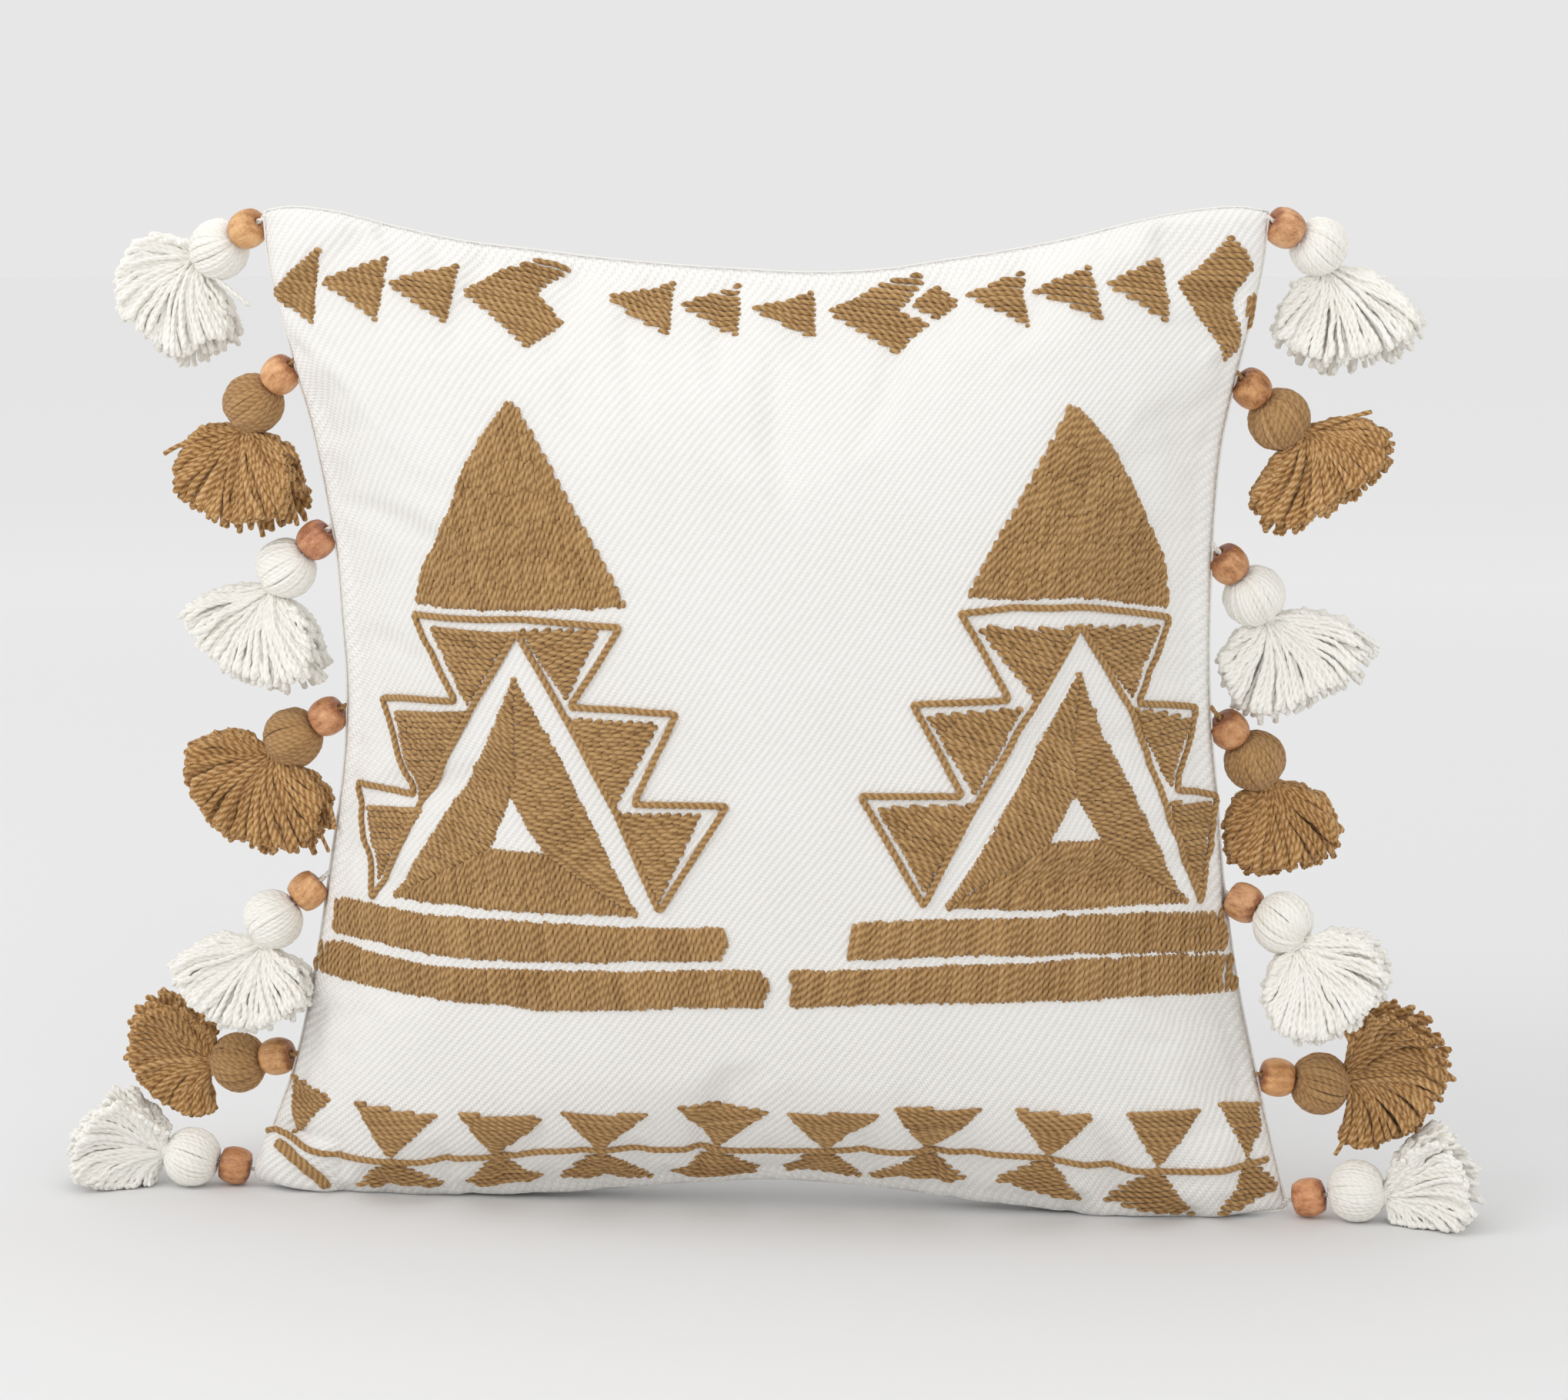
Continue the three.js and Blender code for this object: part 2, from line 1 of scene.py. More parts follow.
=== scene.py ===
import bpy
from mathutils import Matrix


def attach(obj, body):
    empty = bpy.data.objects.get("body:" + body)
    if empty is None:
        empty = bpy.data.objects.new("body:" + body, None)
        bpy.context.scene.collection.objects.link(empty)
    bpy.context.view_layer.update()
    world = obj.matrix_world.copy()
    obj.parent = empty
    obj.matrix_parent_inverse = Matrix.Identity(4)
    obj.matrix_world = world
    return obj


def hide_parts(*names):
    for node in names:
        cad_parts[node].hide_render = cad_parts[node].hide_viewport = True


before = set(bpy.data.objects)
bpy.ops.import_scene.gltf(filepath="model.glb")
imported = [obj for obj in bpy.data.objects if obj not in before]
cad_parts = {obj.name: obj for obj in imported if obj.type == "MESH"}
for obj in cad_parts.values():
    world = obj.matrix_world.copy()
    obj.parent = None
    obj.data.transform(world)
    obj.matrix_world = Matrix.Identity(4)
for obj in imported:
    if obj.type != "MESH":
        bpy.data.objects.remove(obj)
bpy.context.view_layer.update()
# Square throw pillow with yarn embroidery and fourteen beaded yarn tassels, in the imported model's frame. Lengths below are in millimetres until they are scaled by MM.
import math
import bpy
import numpy as np
from mathutils import Vector

MM = 0.001
SHIFT = np.array([-1.848724, 0.0, 0.0])  # the pillow's own frame to the row frame

# ------------------------------------------------------------ the pillow's shape, as in the CAD
SEAM_TOP = [[-239, 478], [-226, 480], [-205, 478], [-176, 471], [-142, 464], [-109, 460], [-75, 456], [-42, 453], [-9, 451], [25, 449.5], [58, 451], [85, 455], [111, 459], [143, 465], [175, 473], [203, 478.5], [224, 480], [237, 478]]
SEAM_BOTTOM = [[-252, 3], [-232, 1], [-200, 0.5], [-157, 2], [-107, 4], [-64, 6], [-25, 9], [5, 11], [49, 9.5], [88, 8], [115, 6], [136, 4], [160, 1.5], [190, 0.5], [230, 1], [254, 3]]
SEAM_LEFT = [[-252, 3], [-247, 18], [-241, 35], [-233, 56], [-226, 82], [-221, 106], [-216, 134], [-211, 166], [-205.5, 200], [-202.5, 230], [-202, 255], [-204, 285], [-206, 315], [-211, 345], [-217, 375], [-225, 405], [-232, 433], [-237, 455], [-239, 478]]
SEAM_RIGHT = [[254, 3], [250, 20], [245, 40], [240, 62], [234, 88], [229, 112], [225, 136], [221, 165], [218, 200], [214.5, 235], [213, 265], [213, 300], [214, 335], [217, 370], [223, 400], [230, 430], [235, 455], [237, 478]]
HALF_THICKNESS = 75.0
ZIP_Z, ZIP_RADIUS, ZIP_SLOPE, ZIP_HALF_SPAN = 96.0, 830.0, 0.17, 148.0
HEM_HALF_GAP = 4.8
CLOTH_W, CLOTH_H = 500.0, 500.0


def spline(pts, n=400):
    p = np.array(pts, float)
    P = np.vstack([2 * p[0] - p[1], p, 2 * p[-1] - p[-2]])
    u = (np.arange(24) / 24)[:, None]
    out = []
    for i in range(1, len(P) - 2):
        a, b, c, d = P[i - 1 : i + 3]
        d0, d1, d2 = (np.linalg.norm(q) ** 0.5 for q in (b - a, c - b, d - c))
        t1 = ((b - a) / d0 - (c - a) / (d0 + d1) + (c - b) / d1) * d1
        t2 = ((c - b) / d1 - (d - b) / (d1 + d2) + (d - c) / d2) * d1
        out.append(b + u * t1 + u**2 * (-3 * b + 3 * c - 2 * t1 - t2) + u**3 * (2 * b - 2 * c + t1 + t2))
    out = np.vstack(out + [P[-2:-1]])
    L = np.concatenate([[0], np.cumsum(np.linalg.norm(np.diff(out, axis=0), axis=1))])
    q = np.linspace(0, L[-1], n + 1)
    return np.stack([np.interp(q, L, out[:, k]) for k in (0, 1)], 1)


EDGE = {"top": spline(SEAM_TOP), "bottom": spline(SEAM_BOTTOM), "left": spline(SEAM_LEFT), "right": spline(SEAM_RIGHT)}


def edge(k, f):
    f = np.clip(f, 0, 1) * 400
    i = np.minimum(f.astype(int), 399)
    w = (f - i)[..., None]
    return EDGE[k][i] * (1 - w) + EDGE[k][i + 1] * w


def patch(s, t):
    s, t = np.broadcast_arrays(np.asarray(s, float), np.asarray(t, float))
    S, U = s[..., None], t[..., None]
    bl, br, tl, tr = EDGE["bottom"][0], EDGE["bottom"][-1], EDGE["top"][0], EDGE["top"][-1]
    return (1 - U) * edge("bottom", s) + U * edge("top", s) + (1 - S) * edge("left", t) + S * edge("right", t) - (1 - S) * (1 - U) * bl - S * (1 - U) * br - (1 - S) * U * tl - S * U * tr


def smooth(a, b, x):
    f = np.clip((x - a) / (b - a), 0, 1)
    return f * f * (3 - 2 * f)


def across(s):
    return np.maximum(1 - np.abs(2 * s - 1) ** 2.4, 0) ** 0.6


def upwards(t):
    return np.maximum(1 - np.abs(2 * t - 1) ** 2.3, 0) ** (0.42 + 0.2 * t)


ZIP_CENTRE_Y = HALF_THICKNESS * float(upwards(0.2)) - ZIP_RADIUS


def skin(s, t, side, less=0.0, inset=0.0):
    """The cover's outer surface, or one less deep and inset from it. side is -1 for the front."""
    s, t = np.broadcast_arrays(np.asarray(s, float), np.asarray(t, float))
    p = patch(s, t)
    k = 1 - inset / 250
    x, z = p[..., 0] * k, (p[..., 1] - 238) * k + 238
    y = (HALF_THICKNESS - less) * across(s) * upwards(t)
    if side > 0:
        w = (1 - smooth(150, 195, np.abs(x))) * (1 - smooth(24, 52, np.abs(z - ZIP_Z)))
        r = ZIP_RADIUS + ZIP_SLOPE * (z - ZIP_Z) - less
        y = y * (1 - w) + w * (ZIP_CENTRE_Y + np.sqrt(np.maximum(r * r - x * x, 1)))
    return np.stack([x, side * (0.15 + y), z], -1)


# ------------------------------------------------------------ mesh building
def make_object(name, verts, quads=(), tris=(), uv=None, uv_name="yarn", values=None, mats=(), smooth_faces=True, mat_index=None):
    """verts in metres. uv is one pair per face corner, quads first. values is {name: one number per vertex}."""
    me = bpy.data.meshes.new(name)
    verts = np.asarray(verts, np.float32)
    quads = np.asarray(quads, np.int32).reshape(-1, 4)
    tris = np.asarray(tris, np.int32).reshape(-1, 3)
    me.vertices.add(len(verts))
    me.vertices.foreach_set("co", verts.reshape(-1))
    me.loops.add(quads.size + tris.size)
    me.loops.foreach_set("vertex_index", np.concatenate([quads.reshape(-1), tris.reshape(-1)]))
    me.polygons.add(len(quads) + len(tris))
    start = np.concatenate([np.arange(len(quads)) * 4, quads.size + np.arange(len(tris)) * 3])
    me.polygons.foreach_set("loop_start", start.astype(np.int32))
    if uv is not None:
        me.uv_layers.new(name=uv_name).data.foreach_set("uv", np.asarray(uv, np.float32).reshape(-1))
    for m in mats:
        me.materials.append(m)
    if mat_index is not None:
        me.polygons.foreach_set("material_index", np.asarray(mat_index, np.int32))
    me.update(calc_edges=True)
    me.validate()
    if smooth_faces:
        me.polygons.foreach_set("use_smooth", np.ones(len(me.polygons), bool))
    for k, v in (values or {}).items():
        me.attributes.new(k, "FLOAT", "POINT").data.foreach_set("value", np.asarray(v, np.float32))
    ob = bpy.data.objects.new(name, me)
    bpy.context.scene.collection.objects.link(ob)
    return ob


def unit(v):
    return v / np.maximum(np.linalg.norm(v, axis=-1, keepdims=True), 1e-9)


class Yarn:
    """Collects strands of one material and body, and makes them one mesh. Lengths in mm."""

    def __init__(self):
        self.v, self.q, self.t, self.uq, self.ut, self.tone, self.n = [], [], [], [], [], [], 0

    def add(self, P, R, tone, normal=None, sides=7, ply=0.16, pitch=8.0, flat=1.0, phase=None, seed=0):
        """P is (strands, points, 3), R (strands, points) or a number, tone one number per strand. normal keeps the flat side of each strand against a surface."""
        P = np.asarray(P, float)
        K, n, _ = P.shape
        R = np.broadcast_to(np.asarray(R, float), (K, n))
        rr = np.random.default_rng(seed)
        T = unit(np.gradient(P, axis=1))
        if normal is None:
            N = np.zeros_like(P)
            a = unit(np.cross(T[:, 0], np.array([0.31, 0.77, 0.56])))
            N[:, 0] = a
            for i in range(1, n):
                a = a - (a * T[:, i]).sum(-1, keepdims=True) * T[:, i]
                a = unit(a)
                N[:, i] = a
        else:
            N = unit(normal - (normal * T).sum(-1, keepdims=True) * T)
        B = np.cross(T, N)
        L = np.concatenate([np.zeros((K, 1)), np.cumsum(np.linalg.norm(np.diff(P, axis=1), axis=-1), axis=1)], 1)
        ph = rr.random((K, 1)) if phase is None else np.broadcast_to(np.asarray(phase, float).reshape(-1, 1), (K, 1))
        U = L / pitch + ph
        a = np.arange(sides) / sides
        th = 2 * math.pi * a[None, None, :]
        lobe = 1 + ply * np.cos(2 * (th - 2 * math.pi * U[..., None]))
        r = R[..., None] * lobe
        V = P[:, :, None, :] + (r * np.cos(th) * flat)[..., None] * N[:, :, None, :] + (r * np.sin(th))[..., None] * B[:, :, None, :]
        base = self.n + np.arange(K)[:, None, None] * (n * sides)
        i = np.arange(n - 1)[None, :, None] * sides
        j, j2 = np.arange(sides)[None, None, :], (np.arange(sides)[None, None, :] + 1) % sides
        q = np.stack(np.broadcast_arrays(base + i + j, base + i + j2, base + i + sides + j2, base + i + sides + j), -1)
        self.v.append(V.reshape(-1, 3))
        self.q.append(q.reshape(-1, 4))
        u0, u1 = U[:, :-1, None], U[:, 1:, None]
        v0, v1 = j / sides, (j + 1) / sides
        uq = np.stack([np.stack(np.broadcast_arrays(u0, v0), -1), np.stack(np.broadcast_arrays(u0, v1), -1), np.stack(np.broadcast_arrays(u1, v1), -1), np.stack(np.broadcast_arrays(u1, v0), -1)], 3)
        self.uq.append(uq.reshape(-1, 2))
        count = K * n * sides
        # domed ends
        tips = np.stack([P[:, 0] - T[:, 0] * R[:, :1] * 0.55, P[:, -1] + T[:, -1] * R[:, -1:] * 0.55], 1)
        self.v.append(tips.reshape(-1, 3))
        k = np.arange(K)[:, None]
        jj, jj2 = np.arange(sides)[None, :], (np.arange(sides)[None, :] + 1) % sides
        s0 = self.n + k * n * sides
        t0 = np.stack(np.broadcast_arrays(s0 + jj2, s0 + jj, self.n + count + 2 * k), -1)
        s1 = s0 + (n - 1) * sides
        t1 = np.stack(np.broadcast_arrays(s1 + jj, s1 + jj2, self.n + count + 2 * k + 1), -1)
        self.t += [t0.reshape(-1, 3), t1.reshape(-1, 3)]
        for Ue in (U[:, :1], U[:, -1:]):
            e = np.stack(np.broadcast_arrays(Ue, jj / sides), -1)
            self.ut.append(np.stack([e, e, e], 2).reshape(-1, 2))
        tone = np.broadcast_to(np.asarray(tone, float).reshape(-1), (K,)) if np.size(tone) in (1, K) else tone
        self.tone += [np.repeat(tone, n * sides), np.repeat(tone, 2)]
        self.n += count + 2 * K

    def build(self, name, mat, body):
        verts = (np.vstack(self.v) + SHIFT) * MM
        verts[:, 2] = np.maximum(verts[:, 2], 0.00005)  # pressed flat where it touches the floor
        ob = make_object(name, verts, np.vstack(self.q), np.vstack(self.t), np.vstack(self.uq + self.ut), "yarn", {"tone": np.concatenate(self.tone)}, [mat])
        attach(ob, body)
        return ob


# ------------------------------------------------------------ materials
class Nodes:
    def __init__(self, name):
        self.mat = bpy.data.materials.new(name)
        self.mat.use_nodes = True
        self.nt = self.mat.node_tree
        self.bsdf = self.nt.nodes["Principled BSDF"]

    def new(self, kind, **inputs):
        n = self.nt.nodes.new(kind)
        for k, v in inputs.items():
            key = k.replace("_", " ")
            self.put(n, key if key in n.inputs else k, v)
        return n

    def put(self, n, key, v):
        sock = n.inputs[key]
        if isinstance(v, bpy.types.NodeSocket):
            self.nt.links.new(v, sock)
        elif isinstance(v, (tuple, list)) and sock.type == "RGBA" and len(v) == 3:
            sock.default_value = (*v, 1)
        else:
            sock.default_value = v

    def math(self, op, a, b=0.0, clamp=False):
        n = self.nt.nodes.new("ShaderNodeMath")
        n.operation = op
        n.use_clamp = clamp
        self.put(n, 0, a)
        if op not in ("SINE", "COSINE", "ABSOLUTE", "FRACT", "FLOOR"):
            self.put(n, 1, b)
        return n.outputs[0]

    def vmath(self, op, a, b=None):
        n = self.nt.nodes.new("ShaderNodeVectorMath")
        n.operation = op
        self.put(n, 0, a)
        if b is not None:
            self.put(n, 1, b)
        return n.outputs[0]

    def noise(self, vector, scale, detail=3.0, rough=0.55):
        n = self.nt.nodes.new("ShaderNodeTexNoise")
        self.put(n, "Vector", vector)
        n.inputs["Scale"].default_value = scale
        n.inputs["Detail"].default_value = detail
        n.inputs["Roughness"].default_value = rough
        return n.outputs["Fac"]

    def ramp(self, fac, *stops):
        n = self.nt.nodes.new("ShaderNodeValToRGB")
        self.put(n, "Fac", fac)
        els = n.color_ramp.elements
        while len(els) < len(stops):
            els.new(0.5)
        for e, (pos, col) in zip(els, stops):
            e.position = pos
            e.color = (*col, 1)
        return n.outputs["Color"]

    def mix(self, fac, a, b, kind="MIX"):
        n = self.nt.nodes.new("ShaderNodeMix")
        n.data_type = "RGBA"
        n.blend_type = kind
        self.put(n, 0, fac)
        self.put(n, 6, a)
        self.put(n, 7, b)
        return n.outputs[2]

    def uv(self, name):
        n = self.nt.nodes.new("ShaderNodeUVMap")
        n.uv_map = name
        return n.outputs[0]

    def split(self, v):
        n = self.nt.nodes.new("ShaderNodeSeparateXYZ")
        self.put(n, 0, v)
        return n.outputs[0], n.outputs[1], n.outputs[2]

    def join(self, x, y, z=0.0):
        n = self.nt.nodes.new("ShaderNodeCombineXYZ")
        self.put(n, 0, x)
        self.put(n, 1, y)
        self.put(n, 2, z)
        return n.outputs[0]

    def bump(self, height, distance, strength=1.0, normal=None):
        n = self.nt.nodes.new("ShaderNodeBump")
        n.inputs["Strength"].default_value = strength
        n.inputs["Distance"].default_value = distance
        self.put(n, "Height", height)
        if normal is not None:
            self.put(n, "Normal", normal)
        return n.outputs[0]

    def attr(self, name):
        n = self.nt.nodes.new("ShaderNodeAttribute")
        n.attribute_name = name
        return n.outputs["Fac"]

    def coord(self, which="Object"):
        return self.nt.nodes.new("ShaderNodeTexCoord").outputs[which]

    def finish(self, color=None, rough=None, normal=None, **consts):
        if color is not None:
            self.put(self.bsdf, "Base Color", color)
        if rough is not None:
            self.put(self.bsdf, "Roughness", rough)
        if normal is not None:
            self.put(self.bsdf, "Normal", normal)
        for k, v in consts.items():
            self.bsdf.inputs[k.replace("_", " ")].default_value = v
        return self.mat


def lin(r, g, b):
    return tuple((c / 255 / 12.92) if c <= 10 else ((c / 255 + 0.055) / 1.055) ** 2.4 for c in (r, g, b))


def yarn_material(name, dark, mid, light, fuzz=0.35, sheen_tint=(1, 1, 1), groove=1.0):
    m = Nodes(name)
    u, v, _ = m.split(m.uv("yarn"))
    turn = m.math("MULTIPLY", m.math("SUBTRACT", v, u), 4 * math.pi)
    lobe = m.math("MULTIPLY_ADD", m.math("COSINE", turn), 0.5)
    lobe.node.inputs[2].default_value = 0.5  # 1 on the ply, 0 in the groove between plies
    # fibres run round each ply, against the twist of the two
    fibre = m.noise(m.join(m.math("MULTIPLY", m.math("ADD", u, m.math("MULTIPLY", v, 0.35)), 14.0), m.math("MULTIPLY", m.math("SUBTRACT", v, m.math("MULTIPLY", u, 0.5)), 5.0), m.math("MULTIPLY", m.attr("tone"), 37.0)), 1.0, 4.0, 0.7)
    patchy = m.noise(m.coord(), 60.0, 2.0)
    # the lobe term is painted shade: the colour is darker in the grooves between plies. fibre, patchy and the random
    # part of tone are the yarn's own uneven colour
    f = m.math("ADD", m.math("MULTIPLY", lobe, 0.42 * groove), m.math("MULTIPLY", fibre, 0.62 + 0.2 * (1 - groove)))
    f = m.math("ADD", f, m.math("MULTIPLY", m.math("SUBTRACT", m.attr("tone"), 0.5), 0.34))
    f = m.math("ADD", f, m.math("MULTIPLY", m.math("SUBTRACT", patchy, 0.5), 0.3))
    color = m.ramp(f, (0.08, dark), (0.5, mid), (0.92, light))
    h = m.math("ADD", m.math("MULTIPLY", lobe, 0.75 * groove), m.math("MULTIPLY", fibre, 0.5))
    m.bsdf.inputs["Sheen Tint"].default_value = (*sheen_tint, 1)
    return m.finish(color, 0.92, m.bump(h, 0.0005, 0.9), Sheen_Weight=fuzz, Sheen_Roughness=0.5, Specular_IOR_Level=0.25)


def cotton_material(name="cotton_cover"):
    """Off-white cotton with a raised diagonal twill, and short floats lying along each ridge."""
    m = Nodes(name)
    x, y, _ = m.split(m.uv("cloth"))  # metres on the flat cloth
    wob = m.noise(m.join(x, y), 9.0, 2.0)
    a = math.radians(52)
    crossing = m.math("SUBTRACT", m.math("MULTIPLY", x, math.sin(a)), m.math("MULTIPLY", y, math.cos(a)))
    crossing = m.math("ADD", crossing, m.math("MULTIPLY", wob, 0.004))
    going = m.math("ADD", m.math("MULTIPLY", x, math.cos(a)), m.math("MULTIPLY", y, math.sin(a)))
    k = m.math("MULTIPLY", crossing, 1 / 0.0034)
    ridge = m.math("MULTIPLY_ADD", m.math("COSINE", m.math("MULTIPLY", k, 2 * math.pi)), 0.5)
    ridge.node.inputs[2].default_value = 0.5
    row = m.math("MULTIPLY", m.math("FLOOR", m.math("MULTIPLY", k, 2.0)), 0.5)
    dash = m.math("MULTIPLY_ADD", m.math("COSINE", m.math("MULTIPLY", m.math("ADD", m.math("MULTIPLY", going, 1 / 0.0019), row), 2 * math.pi)), 0.5)
    dash.node.inputs[2].default_value = 0.5
    warp = m.math("COSINE", m.math("MULTIPLY", x, 2 * math.pi / 0.0011))
    weft = m.math("COSINE", m.math("MULTIPLY", y, 2 * math.pi / 0.0011))
    fine = m.math("MULTIPLY", m.math("MULTIPLY", warp, weft), 0.5)
    slub = m.noise(m.join(m.math("MULTIPLY", x, 90.0), m.math("MULTIPLY", y, 420.0)), 1.0, 3.0, 0.6)
    h = m.math("ADD", m.math("MULTIPLY", ridge, 0.66), m.math("MULTIPLY", dash, 0.4))
    h = m.math("ADD", h, m.math("MULTIPLY", fine, 0.2))
    h = m.math("ADD", h, m.math("MULTIPLY", slub, 0.35))
    broad = m.noise(m.join(x, y), 14.0, 3.0)
    # the colour follows the height h of the ridges, floats, threads and slubs, darker in the hollows: painted shade.
    # broad is the cloth's own uneven tone
    f = m.math("ADD", m.math("MULTIPLY", h, 0.5), m.math("MULTIPLY", broad, 0.3))
    color = m.ramp(f, (0.1, lin(230, 227, 220)), (0.42, lin(247, 245, 241)), (0.85, lin(254, 253, 250)))
    return m.finish(color, 0.9, m.bump(h, 0.0007, 0.95), Sheen_Weight=0.12, Sheen_Roughness=0.5, Specular_IOR_Level=0.25)


def plain_cloth(name, base, thread=0.0006, tone=0.06):
    m = Nodes(name)
    x, y, _ = m.split(m.uv("cloth"))
    warp = m.math("COSINE", m.math("MULTIPLY", x, 2 * math.pi / thread))
    weft = m.math("COSINE", m.math("MULTIPLY", y, 2 * math.pi / thread))
    h = m.math("MULTIPLY_ADD", m.math("MULTIPLY", warp, weft), 0.5)
    h.node.inputs[2].default_value = 0.5
    n = m.noise(m.join(x, y), 180.0, 3.0)
    # the colour follows the weave's height h, darker where the threads dip: painted shade. n is the cloth's own uneven
    # tone
    color = m.ramp(m.math("ADD", m.math("MULTIPLY", h, 0.4), m.math("MULTIPLY", n, 0.6)), (0.1, tuple(c * (1 - 2 * tone) for c in base)), (0.9, base))
    return m.finish(color, 0.93, m.bump(h, 0.0002, 0.6), Sheen_Weight=0.1)


def herringbone(name, base):
    """Zip tape, which has no UVs of its own: a fine diagonal in the piece's own axes."""
    m = Nodes(name)
    x, y, z = m.split(m.coord())
    fold = m.math("ABSOLUTE", m.math("SUBTRACT", m.math("FRACT", m.math("MULTIPLY", z, 1 / 0.0044)), 0.5))
    w = m.math("COSINE", m.math("ADD", m.math("MULTIPLY", x, 2 * math.pi / 0.0011), m.math("MULTIPLY", fold, 18.0)))
    n = m.noise(m.join(x, y, z), 700.0)
    # the colour follows the weave's height w a little, darker in its hollows: painted shade. n is the tape's own uneven
    # tone
    color = m.ramp(m.math("ADD", m.math("MULTIPLY", w, 0.25), n), (0.2, tuple(c * 0.8 for c in base)), (0.8, base))
    return m.finish(color, 0.85, m.bump(w, 0.0002, 0.6), Sheen_Weight=0.1)


def wood_material(name, dark, mid, light, seed):
    """Turned wood: stretched growth lines along the bore, fine pores and a thin wax."""
    m = Nodes(name)
    p = m.coord()
    x, y, z = m.split(m.vmath("ADD", p, (seed * 0.031, seed * 0.017, 0.0)))
    bend = m.noise(m.join(x, y, z), 70.0, 2.0)
    rings = m.math("COSINE", m.math("ADD", m.math("MULTIPLY", x, 2 * math.pi / 0.0042), m.math("ADD", m.math("MULTIPLY", bend, 9.0), m.math("MULTIPLY", z, 60.0))))
    pores = m.noise(m.join(m.math("MULTIPLY", x, 2600.0), m.math("MULTIPLY", y, 2600.0), m.math("MULTIPLY", z, 240.0)), 1.0, 3.0, 0.65)
    blot = m.noise(m.join(x, y, z), 130.0, 2.0)
    speck = m.noise(m.join(m.math("MULTIPLY", x, 900.0), m.math("MULTIPLY", y, 900.0), m.math("MULTIPLY", z, 500.0)), 1.0, 5.0, 0.8)
    f = m.math("ADD", m.math("MULTIPLY", rings, 0.04), m.math("ADD", m.math("MULTIPLY", pores, 0.5), m.math("ADD", m.math("MULTIPLY", blot, 0.55), m.math("MULTIPLY", m.math("SUBTRACT", speck, 0.5), 0.5))))
    end = m.math("POWER", m.math("MULTIPLY", m.math("ABSOLUTE", m.split(p)[2]), 130.0), 5.0)
    f = m.math("SUBTRACT", f, m.math("MULTIPLY", end, 0.22))
    color = m.ramp(f, (0.30, dark), (0.52, mid), (0.74, light))
    rough = m.math("MULTIPLY_ADD", pores, 0.25)
    rough.node.inputs[2].default_value = 0.33
    return m.finish(color, rough, m.bump(m.math("ADD", pores, m.math("MULTIPLY", rings, 0.15)), 0.00012, 0.6), Specular_IOR_Level=0.45, Coat_Weight=0.12, Coat_Roughness=0.35)


def nickel_material():
    m = Nodes("nickel_plate")
    p = m.coord()
    n = m.noise(p, 900.0, 4.0)
    w = m.noise(p, 160.0, 2.0)
    color = m.ramp(w, (0.3, (0.5, 0.49, 0.47)), (0.7, (0.68, 0.67, 0.65)))
    rough = m.math("MULTIPLY_ADD", n, 0.22)
    rough.node.inputs[2].default_value = 0.2
    return m.finish(color, rough, m.bump(n, 0.00004, 0.3), Metallic=1.0)


def nylon_material():
    m = Nodes("nylon_coil")
    n = m.noise(m.coord(), 800.0, 3.0)
    color = m.ramp(n, (0.3, lin(226, 223, 214)), (0.7, lin(244, 242, 236)))
    return m.finish(color, 0.42, m.bump(n, 0.00003, 0.4), Specular_IOR_Level=0.5)


COTTON = cotton_material()
SEAM = yarn_material("seam_cotton", lin(228, 225, 218), lin(243, 241, 236), lin(250, 249, 246), 0.2, groove=0.3)
CALICO = plain_cloth("calico_casing", lin(238, 234, 222))
FIBREFILL = plain_cloth("polyester_fill", lin(246, 246, 243), 0.004, 0.03)
WOOL = yarn_material("wool_embroidery", lin(112, 80, 44), lin(169, 131, 84), lin(200, 163, 112), 0.25, (1.0, 0.85, 0.65))
BROWN = yarn_material("brown_tassel_yarn", lin(98, 62, 28), lin(178, 132, 78), lin(222, 184, 132), 0.35, (1.0, 0.86, 0.66))
BALL_BROWN = yarn_material("brown_ball_yarn", lin(124, 88, 50), lin(178, 138, 90), lin(206, 168, 120), 0.35, (1.0, 0.85, 0.7), groove=0.65)
BALL_IVORY = yarn_material("ivory_ball_yarn", lin(236, 231, 218), lin(250, 248, 241), lin(253, 251, 246), 0.3, groove=0.65)
IVORY = yarn_material("ivory_tassel_yarn", lin(240, 235, 222), lin(250, 248, 241), lin(253, 251, 245), 0.25)
NICKEL, NYLON = nickel_material(), nylon_material()
TAPE = herringbone("zip_tape_weave", lin(238, 235, 227))

# ------------------------------------------------------------ the cover
def quad_grid(nx, nz):
    j, i = np.meshgrid(np.arange(nz), np.arange(nx), indexing="ij")
    a = (j * (nx + 1) + i).reshape(-1)
    return np.stack([a, a + 1, a + nx + 2, a + nx + 1], 1)


